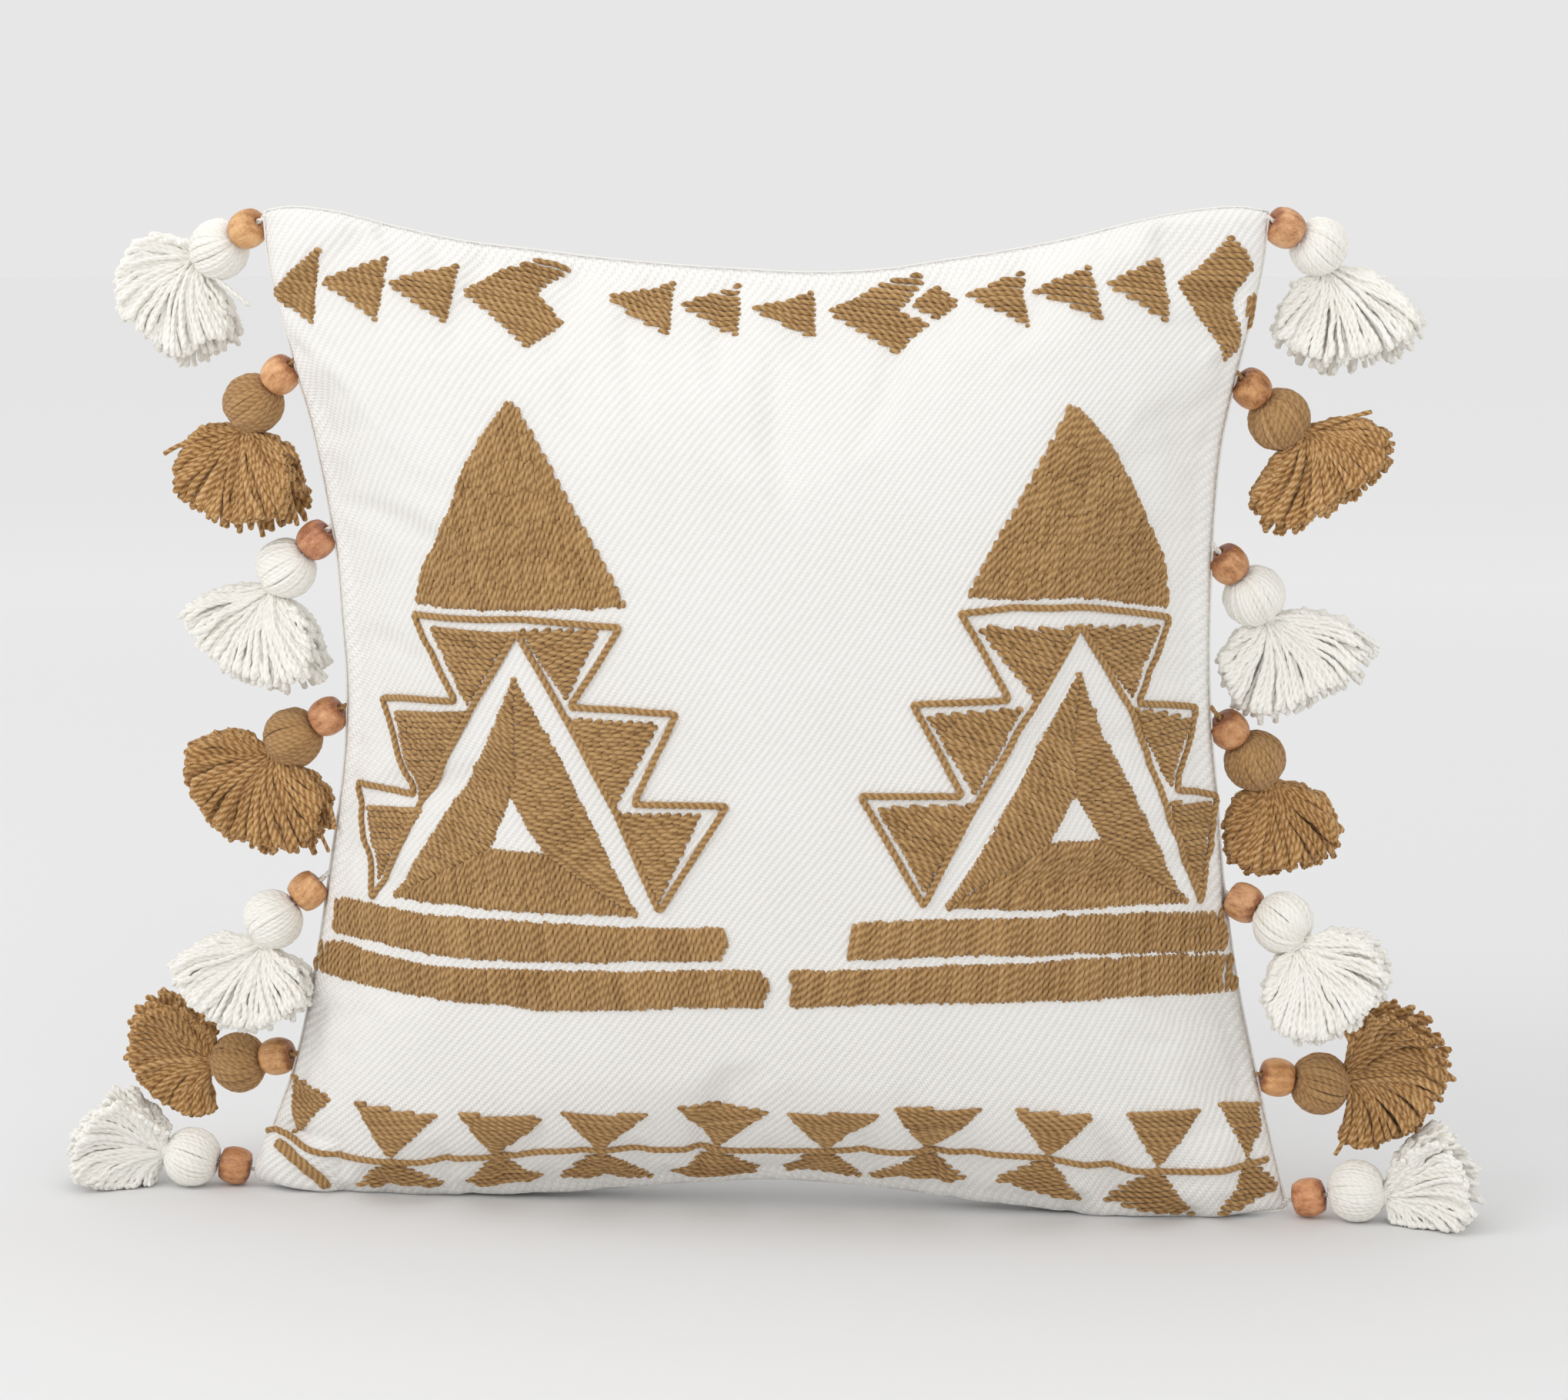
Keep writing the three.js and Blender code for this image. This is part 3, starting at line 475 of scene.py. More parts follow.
def inflate(n):
    """Blows the cover up as cloth with its seam held, and gives how far each point of both faces moved, as (n+1, n+1, 3) arrays in mm, rows up and columns across."""
    g = np.linspace(0, 1, n + 1)
    S, T = np.meshgrid(g, g)
    F, B = skin(S, T, -1, less=5.0), skin(S, T, 1, less=5.0)
    F[0, :, 1] = F[-1, :, 1] = F[:, 0, 1] = F[:, -1, 1] = 0
    count = (n + 1) ** 2
    inner = np.zeros((n + 1, n + 1), bool)
    inner[1:-1, 1:-1] = True
    back = np.arange(count).reshape(n + 1, n + 1).copy()
    back[inner] = count + np.arange(inner.sum())
    q = quad_grid(n, n)
    flat = back.reshape(-1)
    qb = flat[q][:, ::-1]
    verts = np.vstack([F.reshape(-1, 3), B[inner]])
    ob = make_object("cover_blow_up", verts * MM, np.vstack([q, qb]))
    pins = ob.vertex_groups.new(name="pins")
    pins.add([int(k) for k in np.arange(count).reshape(n + 1, n + 1)[~inner]], 1.0, "REPLACE")
    cl = ob.modifiers.new("cloth", "CLOTH")
    st = cl.settings
    st.vertex_group_mass = "pins"
    st.mass = 0.25
    st.quality = 6
    st.tension_stiffness = st.compression_stiffness = 18
    st.shear_stiffness = 8
    st.bending_stiffness = 1.2
    st.use_pressure = True
    st.uniform_pressure_force = 4
    st.shrink_min = -0.018
    st.effector_weights.gravity = 0
    cl.collision_settings.use_collision = False
    cl.point_cache.frame_start, cl.point_cache.frame_end = 1, 24
    sc = bpy.context.scene
    for f in range(1, 21):
        sc.frame_set(f)
    ev = ob.evaluated_get(bpy.context.evaluated_depsgraph_get())
    co = np.empty(len(ob.data.vertices) * 3, np.float32)
    ev.data.vertices.foreach_get("co", co)
    co = co.reshape(-1, 3) / MM
    sc.frame_set(1)
    bpy.data.objects.remove(ob)
    out = []
    for idx, base, side in ((np.arange(count).reshape(n + 1, n + 1), skin(S, T, -1), -1), (back, skin(S, T, 1), 1)):
        d = co[idx] - base
        d[~inner] = 0
        size = np.linalg.norm(d, axis=-1, keepdims=True)
        out.append(d * np.minimum(1, 7.0 / np.maximum(size, 1e-6)))
    return out


SIM_N = 88
MOVED = inflate(SIM_N)


def bicubic(A, s, t):
    """A (n+1, n+1, k) looked up at s across and t up, by Catmull-Rom."""
    n = A.shape[0] - 1
    s, t = np.broadcast_arrays(np.clip(s, 0, 1) * n, np.clip(t, 0, 1) * n)
    i, j = np.minimum(s.astype(int), n - 1), np.minimum(t.astype(int), n - 1)
    fs, ft = s - i, t - j

    def w(f):
        return [((-f + 2) * f - 1) * f / 2, ((3 * f - 5) * f * f + 2) / 2, ((-3 * f + 4) * f + 1) * f / 2, (f - 1) * f * f / 2]

    out = 0
    for a, wa in enumerate(w(ft)):
        for b, wb in enumerate(w(fs)):
            out = out + (wa * wb)[..., None] * A[np.clip(j + a - 1, 0, n), np.clip(i + b - 1, 0, n)]
    return out


rng = np.random.default_rng(462)
PUCKER = [rng.random(64) for _ in range(8)]


def wave(f, k):
    x = f * 63
    i = np.minimum(x.astype(int), 62)
    w = x - i
    w = w * w * (3 - 2 * w)
    return PUCKER[k][i] * (1 - w) + PUCKER[k][i + 1] * w - 0.5


CORNERS = (
    ((0, 0.08, 0, 0.062, -10.0, 9.0, 0.5), (0, 0.10, 1, 0.10, -2.0, 4.0, 1.0), (1, 0.10, 1, 0.11, 4.0, 4.5, 0.9), (1, 0.10, 0, 0.10, 3.0, 4.5, 0.9)),
    ((0, 0.11, 0, 0.12, -2.5, 5.0, 0.9), (0, 0.10, 1, 0.10, -2.0, 4.0, 1.0), (1, 0.10, 1, 0.10, 2.0, 4.0, 1.0), (1, 0.11, 0, 0.12, 2.5, 5.0, 0.9)),
)


def cover_point(s, t, side, less=0.0, inset=0.0):
    """A point of the finished cover, in mm: the cloth as it blew up, its seam puckers, and the flat it stands on."""
    s, t = np.broadcast_arrays(np.asarray(s, float), np.asarray(t, float))
    p = skin(s, t, side, less, inset)
    d = bicubic(MOVED[0 if side < 0 else 1], s, t)
    if side > 0:
        near = (1 - smooth(160, 200, np.abs(p[..., 0]))) * (1 - smooth(14, 40, np.abs(p[..., 2] - ZIP_Z)))
        d = d * (1 - near)[..., None]
    p = p + d
    # short puckers where the seam thread gathers the cloth
    k = 0 if side < 0 else 4
    for q, (dist, along) in enumerate(((s * 480, t), ((1 - s) * 480, t), (t * 470, s), ((1 - t) * 470, s))):
        fade = np.exp(-dist / 9.0) * (1 - np.exp(-dist / 2.5))
        p[..., 1] += side * 3.0 * wave(along, k + q) * fade
    # corners: a dog-ear of loose cloth at the lower left of the front, and a little fullness at the others
    for s0, ds, t0, dt, out, fore, power in CORNERS[0 if side < 0 else 1]:
        b = (np.sin(math.pi * np.clip(np.abs(s - s0) / ds, 0, 1)) * np.sin(math.pi * np.clip(np.abs(t - t0) / dt, 0, 1))) ** power
        p[..., 0] += out * b
        p[..., 1] += side * fore * b
    # the bottom is flat only where it stands
    u = np.abs(2 * s - 1)
    w = smooth(0.16, 0.45, u) * (1 - smooth(0.8, 0.95, u))
    p[..., 2] -= 3.6 * w * (1 - smooth(0.0, 0.05, t))
    p[..., 2] = np.where(p[..., 2] < 0.6, 0.15 + 0.45 * np.exp(np.clip((p[..., 2] - 0.6) / 0.45, -30, 0)), p[..., 2])
    return p


def panel(name, ss, tt, side, mats, wall=1.2, hem=None, nodes=(), closer=None):
    """One cloth panel of the cover as a closed shell. hem bends its edge in at the zip: (row index, depths)."""
    S, T = np.meshgrid(ss, tt)
    out = cover_point(S, T, side)
    if hem is not None:
        out = hem(out, S, T)
    du = np.gradient(out, axis=1)
    dv = np.gradient(out, axis=0)
    nrm = unit(np.cross(du, dv)) * (1 if side < 0 else -1)
    inner = out - nrm * wall
    inner[..., 2] = np.maximum(inner[..., 2], out[..., 2].clip(0, 1.4))
    rim = np.zeros(S.shape, bool)
    rim[:, 0] = rim[:, -1] = True
    if tt[0] == 0:
        rim[0] = True
    if tt[-1] == 1:
        rim[-1] = True
    # at the seam both skins turn in together
    c = np.array([0, 0, 238.0])
    out[rim, 1] = side * 0.02
    turned = out + (c - out) * 0.012
    turned[..., 1] = side * 0.25
    inner[rim] = turned[rim]
    nz, nx = S.shape[0] - 1, S.shape[1] - 1
    q = quad_grid(nx, nz)
    n = S.size
    uv_v = np.stack([S * CLOTH_W, T * CLOTH_H], -1).reshape(-1, 2) * MM
    front, back = (q, q[:, ::-1] + n) if side < 0 else (q[:, ::-1], q + n)
    ring = np.concatenate([np.arange(nx), nx + (nx + 1) * np.arange(nz), nz * (nx + 1) + nx - np.arange(nx), (nx + 1) * (nz - np.arange(nz))])
    nxt = np.roll(ring, -1)
    edge_q = np.stack([ring, ring + n, nxt + n, nxt], 1)
    if side > 0:
        edge_q = edge_q[:, ::-1]
    quads = np.vstack([front, back, edge_q])
    uvs = np.vstack([uv_v, uv_v])[quads.reshape(-1)]
    ob = make_object(name, (np.vstack([out.reshape(-1, 3), inner.reshape(-1, 3)]) + SHIFT) * MM, quads, (), uvs, "cloth", mats=mats)
    # the turned-in rim is creased, so that its faces don't darken the cloth beside it
    soft = np.ones(len(ob.data.polygons), bool)
    soft[len(front) + len(back) :] = False
    ob.data.polygons.foreach_set("use_smooth", soft)
    if nodes:
        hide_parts(*nodes)
    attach(ob, "cushion")
    return ob


N = 168
lin_s = np.linspace(0, 1, N + 1)
# closer rows and columns near the seams, where the surface turns fast
ease = lambda g: g - 0.055 * np.sin(2 * math.pi * g)
GS = ease(lin_s)
front = panel("cover_front", GS, GS, -1, [COTTON], nodes=("front_panel",))


# ------------------------------------------------------------ embroidery
def outline(points):
    return np.array(points, float) * np.array([CLOTH_W, CLOTH_H]) / 1000


def hatch(poly, angle, pitch, jitter, rr):
    """Parallel runs across a polygon: (start, end) pairs in cloth mm."""
    a = math.radians(angle)
    d, n = np.array([math.cos(a), math.sin(a)]), np.array([-math.sin(a), math.cos(a)])
    h = poly @ n
    count = max(1, int(round((h.max() - h.min() - pitch * 0.35) / pitch)))
    gap = (h.max() - h.min()) / count
    runs = []
    for k in range(count):
        y = h.min() + gap * (k + 0.5)
        xs = []
        for p, q in zip(poly, np.roll(poly, -1, axis=0)):
            hp, hq = p @ n, q @ n
            if (hp <= y) != (hq <= y):
                f = (y - hp) / (hq - hp)
                xs.append((p + (q - p) * f) @ d)
        xs.sort()
        for x0, x1 in zip(xs[::2], xs[1::2]):
            if x1 - x0 < 1.2:
                x0, x1 = x0 - 0.5, x1 + 0.5
            e = rr.normal(0, jitter, 2)
            runs.append((d * (x0 + e[0]) + n * y, d * (x1 + e[1]) + n * (y + rr.normal(0, 0.12))))
    return runs


STITCH_PITCH, STITCH_R = 2.55, 1.42
FILLS = [
    ('T1', -7, 0, [(1, 917), (62, 964), (42, 885)]),
    ('T2', 3, 0, [(57, 932), (134, 967), (128, 939), (118, 900)]),
    ('T3', 6, 0, [(132, 942), (205, 980), (201, 946), (194, 916)]),
    ('T4', -13, 0, [(354, 968), (420, 990), (419, 933)]),
    ('T5', -1, 0, [(425, 968), (485, 993), (487, 938)]),
    ('T6', -9, 0, [(495, 967), (556, 989), (563, 940)]),
    ('T7', -10, 0, [(704, 968), (761, 981), (763, 957), (774, 919)]),
    ('T8', -23, 0, [(770, 958), (829, 966), (848, 906)]),
    ('T9', -16, 0, [(846, 942), (899, 959), (916, 893)]),
    ('A1', -6, 0, [(210, 956), (251, 984), (283, 996), (315, 990), (286, 963), (314, 936), (278, 901), (243, 931)]),
    ('A2', -14, 0, [(570, 969), (623, 993), (662, 993), (664, 986), (640, 963), (674, 941), (643, 918)]),
    ('D', -16, 0, [(653, 964), (675, 983), (701, 961), (680, 945)]),
    ('A3', -5, 0, [(915, 931), (960, 973), (979, 956), (987, 943), (972, 915), (990, 883), (997, 864), (987, 851), (968, 873), (941, 901)]),
    ('HD', 98, 0, [(987, 915), (994, 921), (999, 905), (999, 884), (993, 895)]),
    ('SL', 95, 1, [(257, 844), (239, 822), (222, 801), (196, 764), (176, 725), (149, 694), (123, 657), (112, 624), (366, 650), (341, 699), (317, 740), (290, 792), (266, 835)]),
    ('SR', 83, 1, [(828, 828), (811, 789), (783, 738), (761, 705), (745, 679), (733, 657), (850, 643), (962, 614), (965, 627), (953, 668), (928, 708), (905, 745), (878, 782), (844, 818)]),
    ('WL1', 5, 1, [(130, 604), (239, 615), (172, 534)]),
    ('WR1', 28, 1, [(245, 617), (336, 625), (294, 552)]),
    ('WL2', 11, 1, [(64, 509), (172, 530), (105, 427)]),
    ('WR2', 27, 1, [(293, 535), (395, 535), (347, 447)]),
    ('WL3', 8, 1, [(36, 410), (113, 420), (62, 340)]),
    ('WR3', 29, 1, [(349, 443), (440, 443), (401, 352)]),
    ('XL1', -18, 1, [(743, 627), (851, 614), (806, 550)]),
    ('XR1', 4, 1, [(858, 613), (955, 596), (919, 534)]),
    ('XL2', -17, 1, [(688, 543), (793, 545), (737, 462)]),
    ('XR2', 2, 1, [(918, 525), (988, 505), (958, 442)]),
    ('XL3', -16, 1, [(632, 453), (737, 452), (681, 365)]),
    ('XR3', -2, 1, [(954, 429), (999, 419), (979, 324)]),
    ('AL1', -9, 1, [(235, 570), (92, 330), (207, 395), (227, 452)]),
    ('AR1', 27, 1, [(235, 570), (227, 452), (272, 396), (378, 338)]),
    ('AB1', 106, 1, [(92, 330), (182, 335), (288, 337), (378, 338), (272, 396), (207, 395)]),
    ('AL2', -28, 1, [(855, 570), (704, 348), (813, 409), (848, 453)]),
    ('AR2', 11, 1, [(855, 570), (848, 453), (875, 404), (966, 327)]),
    ('AB2', 73, 1, [(704, 348), (793, 345), (886, 336), (966, 327), (875, 404), (813, 409)]),
    ('S1L', 104, 1, [(9, 312), (69, 316), (162, 321), (241, 326), (313, 326), (386, 325), (471, 324), (474, 306), (467, 289), (386, 290), (243, 284), (186, 282), (124, 282), (75, 280), (10, 274)]),
    ('S2L', 101, 1, [(1, 262), (25, 268), (103, 269), (168, 270), (244, 275), (387, 279), (509, 278), (518, 259), (508, 237), (422, 239), (282, 234), (246, 238), (172, 237), (105, 234), (35, 233), (1, 231)]),
    ('S1R', 79, 1, [(606, 333), (680, 335), (769, 336), (825, 335), (920, 324), (998, 312), (996, 272), (839, 297), (731, 299), (661, 296), (598, 293)]),
    ('S2R', 79, 1, [(540, 280), (624, 283), (731, 289), (838, 291), (953, 277), (999, 267), (999, 230), (907, 245), (797, 252), (710, 248), (623, 247), (540, 239)]),
    ('S1Re', 81, 0, [(989, 311), (997, 311), (995, 272), (984, 274)]),
    ('S2Re', 90, 0, [(988, 270), (999, 266), (998, 231), (985, 234)]),
    ('H0a', 20, 0, [(1, 119), (58, 112), (29, 59)]),
    ('H1a', 9, 0, [(85, 114), (133, 112), (177, 110), (137, 52)]),
    ('H2a', 3, 0, [(199, 116), (245, 113), (290, 112), (243, 55)]),
    ('H3a', -6, 0, [(305, 118), (393, 116), (347, 63)]),
    ('H4a', 16, 0, [(421, 121), (514, 109), (461, 52)]),
    ('H5a', 2, 0, [(529, 110), (623, 118), (567, 55)]),
    ('H6a', 8, 0, [(636, 126), (723, 132), (664, 59)]),
    ('H7a', 7, 0, [(753, 134), (834, 130), (782, 75)]),
    ('H8a', -5, 0, [(862, 131), (938, 123), (887, 66)]),
    ('H9a', -16, 0, [(957, 126), (999, 114), (994, 89), (973, 63)]),
    ('H1b', 7, 0, [(137, 52), (194, 14), (100, 13)]),
    ('H2b', 11, 0, [(243, 55), (294, 18), (211, 11)]),
    ('H3b', 24, 0, [(347, 63), (398, 11), (304, 20)]),
    ('H4b', -3, 0, [(461, 52), (507, 9), (411, 11)]),
    ('H5b', 30, 0, [(567, 55), (598, 11), (519, 10)]),
    ('H6b', -3, 0, [(664, 59), (703, 23), (602, 12)]),
    ('H7b', 16, 0, [(782, 75), (808, 15), (724, 30)]),
    ('H8b', 10, 0, [(887, 66), (914, 5), (829, 21)]),
    ('H9b', -9, 0, [(973, 63), (999, 27), (946, 10), (934, 10)]),
]
CORDS = [
    ('OL', 1, [(107, 612), (243, 628), (359, 629), (331, 588), (298, 546), (358, 547), (417, 545), (392, 500), (368, 453), (419, 453), (470, 452), (435, 398), (402, 342), (375, 393), (349, 443), (318, 492), (289, 540), (266, 578), (242, 615), (214, 577), (181, 537), (143, 483), (111, 428), (89, 375), (62, 321), (38, 376), (22, 431), (58, 431), (97, 432), (72, 476), (45, 518), (104, 529), (158, 537), (131, 575)]),
    ('OR', 1, [(725, 641), (783, 642), (850, 633), (909, 618), (965, 604), (949, 566), (925, 528), (961, 521), (991, 515), (980, 475), (962, 438), (987, 433), (999, 427), (992, 376), (979, 324), (965, 378), (946, 434), (933, 480), (914, 527), (886, 570), (855, 615), (833, 584), (810, 553), (774, 503), (737, 452), (707, 402), (680, 350), (647, 408), (614, 466), (668, 463), (723, 461), (699, 508), (673, 555), (725, 554), (777, 553), (752, 597)]),
    ('H0b', 0, [(25, 53), (46, 47), (63, 39), (73, 28), (79, 15)]),
    ('H0c', 0, [(27, 50), (46, 42), (60, 34), (70, 24), (77, 15)]),
    ('H0d', 0, [(26, 52), (46, 45), (62, 37), (72, 26), (78, 16)]),
    ('L', 0, [(1, 55), (11, 61), (43, 56), (75, 50), (106, 50), (140, 48), (168, 45), (208, 52), (251, 52), (291, 63), (344, 64), (406, 58), (462, 49), (512, 44), (569, 53), (664, 59), (712, 69), (782, 73), (827, 64), (860, 60), (886, 61), (921, 60), (974, 56), (992, 58)]),
]



def on_front(pq):
    """Cloth mm to (points, normals) on the finished front."""
    s, t = pq[..., 0] / CLOTH_W, pq[..., 1] / CLOTH_H
    s, t = np.clip(s, 0.0012, 0.9988), np.clip(t, 0.0012, 0.9988)
    e = 0.002
    p = cover_point(s, t, -1)
    ds = cover_point(s + e, t, -1) - cover_point(s - e, t, -1)
    dt = cover_point(s, t + e, -1) - cover_point(s, t - e, -1)
    nrm = unit(np.cross(ds, dt))
    return p, nrm


def stitched(yarn, runs, rr, step=1.35, radius=STITCH_R, sink=1.15, lift=0.62, arch=0.25, tone0=0.5, spread=0.16):
    """Lays straight stitches on the front. Runs of like length are done together."""
    groups = {}
    for a, b in runs:
        n = max(5, int(round(np.linalg.norm(b - a) / step)) + 1)
        groups.setdefault(n, []).append((a, b))
    for n, rs in groups.items():
        A, B = np.array([r[0] for r in rs]), np.array([r[1] for r in rs])
        f = np.linspace(0, 1, n)[None, :, None]
        pq = A[:, None] * (1 - f) + B[:, None] * f
        side = np.stack([-(B - A)[:, 1], (B - A)[:, 0]], 1)
        side = unit(side)[:, None]
        wob = rr.normal(0, 0.14, (len(rs), n, 1))
        wob[:, 1:-1] = (wob[:, :-2] + wob[:, 1:-1] * 2 + wob[:, 2:]) / 4
        pq = pq + side * wob
        p, nrm = on_front(pq)
        L = np.linalg.norm(B - A, axis=1)[:, None]
        x = f[..., 0] * L
        end = np.minimum(x, L - x)
        h = lift - sink * np.exp(-end / 0.8) + arch * np.sin(math.pi * f[..., 0]) + rr.normal(0, 0.06, (len(rs), 1))
        R = radius * (1 - 0.25 * np.exp(-end / 0.9)) * (1 + rr.normal(0, 0.035, (len(rs), 1)))
        yarn.add(p + nrm * h[..., None], R, np.clip(tone0 + rr.normal(0, spread, len(rs)), 0, 1), normal=nrm, sides=8, ply=0.17, pitch=8.4, flat=0.82, seed=int(n) + 7)


def long_runs(runs, rr, length=17.0):
    """Splits long runs end to end where the needle goes down and comes up again, staggered from row to row."""
    out = []
    for k, (a, b) in enumerate(runs):
        L = np.linalg.norm(b - a)
        if L < length * 1.5:
            out.append((a, b))
            continue
        cuts = [0.0]
        x = length * (0.45 + 0.55 * ((k * 0.618) % 1))
        while x < L - 6:
            cuts.append(x)
            x += length * (0.85 + 0.3 * rr.random())
        cuts.append(L)
        d = (b - a) / L
        for c0, c1 in zip(cuts[:-1], cuts[1:]):
            out.append((a + d * (c0 - 0.35), a + d * (c1 + 0.35)))
    return out


def rope(yarn, line, closed, rr, radius=1.55):
    """A couched two-ply cord along a line on the cloth, in cloth mm."""
    pts = outline(line)
    if closed:
        pts = np.vstack([pts, pts[:1]])
    seg = np.linalg.norm(np.diff(pts, axis=0), axis=1)
    L = np.concatenate([[0], np.cumsum(seg)])
    n = int(L[-1] / 1.15)
    q = np.linspace(0, L[-1], n)
    pq = np.stack([np.interp(q, L, pts[:, k]) for k in (0, 1)], 1)
    # corners round off a little
    for _ in range(2):
        pq[1:-1] = (pq[:-2] + 2 * pq[1:-1] + pq[2:]) / 4
    pq += rr.normal(0, 0.10, pq.shape)
    pq[1:-1] = (pq[:-2] + 2 * pq[1:-1] + pq[2:]) / 4
    p, nrm = on_front(pq)
    h = np.full(n, 0.75)
    h[0] = h[-1] = -0.6
    yarn.add((p + nrm * h[:, None])[None], np.full((1, n), radius), [0.5], normal=nrm[None], sides=9, ply=0.2, pitch=7.0, flat=0.85, seed=3)


rr = np.random.default_rng(7)
bands = {"embroidery_top_band": Yarn(), "embroidery_towers": Yarn(), "embroidery_stripes": Yarn(), "embroidery_bottom_band": Yarn()}
for name, angle, split, points in FILLS:
    which = "embroidery_top_band" if name[0] in "TD" or name in ("A1", "A2", "A3", "HD") else "embroidery_bottom_band" if name.startswith("H") else "embroidery_stripes" if name[:2] in ("S1", "S2") else "embroidery_towers"
    runs = hatch(outline(points), angle, STITCH_PITCH, 0.35, rr)
    if split:
        runs = long_runs(runs, rr, 15.0)
    stitched(bands[which], runs, rr)
for name, closed, points in CORDS:
    rope(bands["embroidery_bottom_band" if name == "L" else "embroidery_towers"], points, closed, rr)
for name, y in bands.items():
    ob = y.build(name, WOOL, "cushion")

# ------------------------------------------------------------ back panels, zip and insert
z_rows = patch(np.full(801, 0.5), np.linspace(0, 1, 801))[:, 1]


def t_at(z):
    return float(np.interp(z, z_rows, np.linspace(0, 1, 801)))


def hem_fold(upper):
    """Moves the rows beside the zip to their place: the hem stands off the rows of teeth along the zip, and the panels meet in a seam beyond its ends."""
    def fold(out, S, T):
        near = (T - T.min()) if upper else (T.max() - T)
        near = near * 452
        x = out[..., 0]
        gap = HEM_HALF_GAP * (1 - smooth(ZIP_HALF_SPAN + 1, ZIP_HALF_SPAN + 9, np.abs(x))) + 0.25
        target = ZIP_Z + (gap if upper else -gap)
        w = np.exp(-near / 22.0)
        edge_z = out[0 if upper else -1, :, 2][None, :]
        out[..., 2] += (target - edge_z) * w
        dip = np.exp(-near / 1.3)
        inside = 1 - smooth(ZIP_HALF_SPAN, ZIP_HALF_SPAN + 8, np.abs(x))
        out[..., 1] -= dip * (0.9 + 0.5 * inside)
        return out

    return fold


def rows(t0, t1, n, tight):
    g = np.linspace(0, 1, n + 1)
    if tight == "low":
        g = g - 0.12 * np.sin(math.pi * g) * (1 - g)
        g = np.sort(np.concatenate([g[1:], [0, 0.002, 0.005, 0.009, 0.014]]))
    else:
        g = np.sort(np.concatenate([g[:-1], [1, 0.995, 0.987, 0.975, 0.96]]))
    return t0 + (t1 - t0) * g


t_zip = t_at(ZIP_Z)
up_rows = rows(t_zip, 1.0, 118, "low")
low_rows = rows(0.0, t_zip, 44, "high")
back_upper = panel("cover_back_upper", GS, up_rows, 1, [COTTON], hem=hem_fold(True), nodes=("back_panel_upper",))
back_lower = panel("cover_back_lower", GS, low_rows, 1, [COTTON], hem=hem_fold(False), nodes=("back_panel_lower",))


def blob(name, less, inset, mat, nodes, n=56):
    """A closed cushion inside the cover."""
    g = ease(np.linspace(0, 1, n + 1))
    S, T = np.meshgrid(g, g)
    F, B = skin(S, T, -1, less, inset), skin(S, T, 1, less, inset)
    edge = np.ones(S.shape, bool)
    edge[1:-1, 1:-1] = False
    F[edge, 1] = 0
    count = S.size
    idx = np.arange(count).reshape(S.shape).copy()
    idx[~edge] = count + np.arange((~edge).sum())
    q = quad_grid(n, n)
    verts = np.vstack([F.reshape(-1, 3), B[~edge]])
    verts[:, 2] = np.maximum(verts[:, 2], 3.0 + inset * 0.3)
    quads = np.vstack([q, idx.reshape(-1)[q][:, ::-1]])
    uvv = np.zeros((len(verts), 2))
    uvv[:count] = np.stack([S, T], -1).reshape(-1, 2) * 0.48
    uvv[count:] = np.stack([S[~edge], T[~edge]], -1) * 0.48
    ob = make_object(name, (verts + SHIFT) * MM, quads, (), uvv[quads.reshape(-1)], "cloth", mats=[mat])
    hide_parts(*nodes)
    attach(ob, "cushion")
    return ob


blob("insert_casing", 19.0, 15.0, CALICO, ("insert_case_front", "insert_case_back"))
blob("insert_filling", 21.5, 18.0, FIBREFILL, ("insert_fill",), 40)


def zip_point(x, y, z):
    """Along the zip x, out from the cover y, up from its centre line z."""
    r = ZIP_RADIUS + ZIP_SLOPE * z + y
    a = x / ZIP_RADIUS
    return np.stack([r * np.sin(a), ZIP_CENTRE_Y + 0.15 + r * np.cos(a), ZIP_Z + z + 0 * a], -1)


for side, name in ((1, "upper"), (-1, "lower")):
    y = Yarn()
    span = ZIP_HALF_SPAN - 4.5
    turns = int(2 * span / 1.5)
    f = np.linspace(0, 1, turns * 9 + 1)
    a = 2 * math.pi * turns * f
    xx = -span + 2 * span * f + (0.75 if side < 0 else 0)
    zz = side * (1.68 - 1.05 * np.cos(a))
    yy = -1.25 + 0.82 * np.sin(a)
    P = zip_point(xx, yy, zz)
    y.add(P[None], np.full((1, len(f)), 0.3), [0.5], normal=np.broadcast_to(np.array([0, 1.0, 0]), P.shape)[None], sides=5, ply=0.0, pitch=8.0)
    # cord through the coil, sewn to the tape
    g = np.linspace(-span, span, 60)
    y.add(zip_point(g, -1.25, side * 1.7)[None], np.full((1, 60), 0.42), [0.5], sides=5, ply=0.0)
    ob = y.build("zip_coil_" + name, NYLON, "cushion")
    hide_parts("zip_teeth_" + name)
# topstitching along both hems
y = Yarn()
thread_runs = []
for side in (1, -1):
    x = -ZIP_HALF_SPAN - 4
    while x < ZIP_HALF_SPAN + 4:
        thread_runs.append((x, x + 2.6, side * (HEM_HALF_GAP + 3.2)))
        x += 3.3
xs = np.array([np.linspace(a, b, 5) for a, b, _ in thread_runs])
zs = np.array([[c] * 5 for *_, c in thread_runs])
hh = np.array([-0.25, 0.12, 0.2, 0.12, -0.25])[None, :]
P = zip_point(xs, hh + 0.05, zs)
y.add(P, 0.24, np.full(len(P), 0.7), normal=np.broadcast_to(np.array([0, 1.0, 0]), P.shape), sides=5, ply=0.1, pitch=1.6)
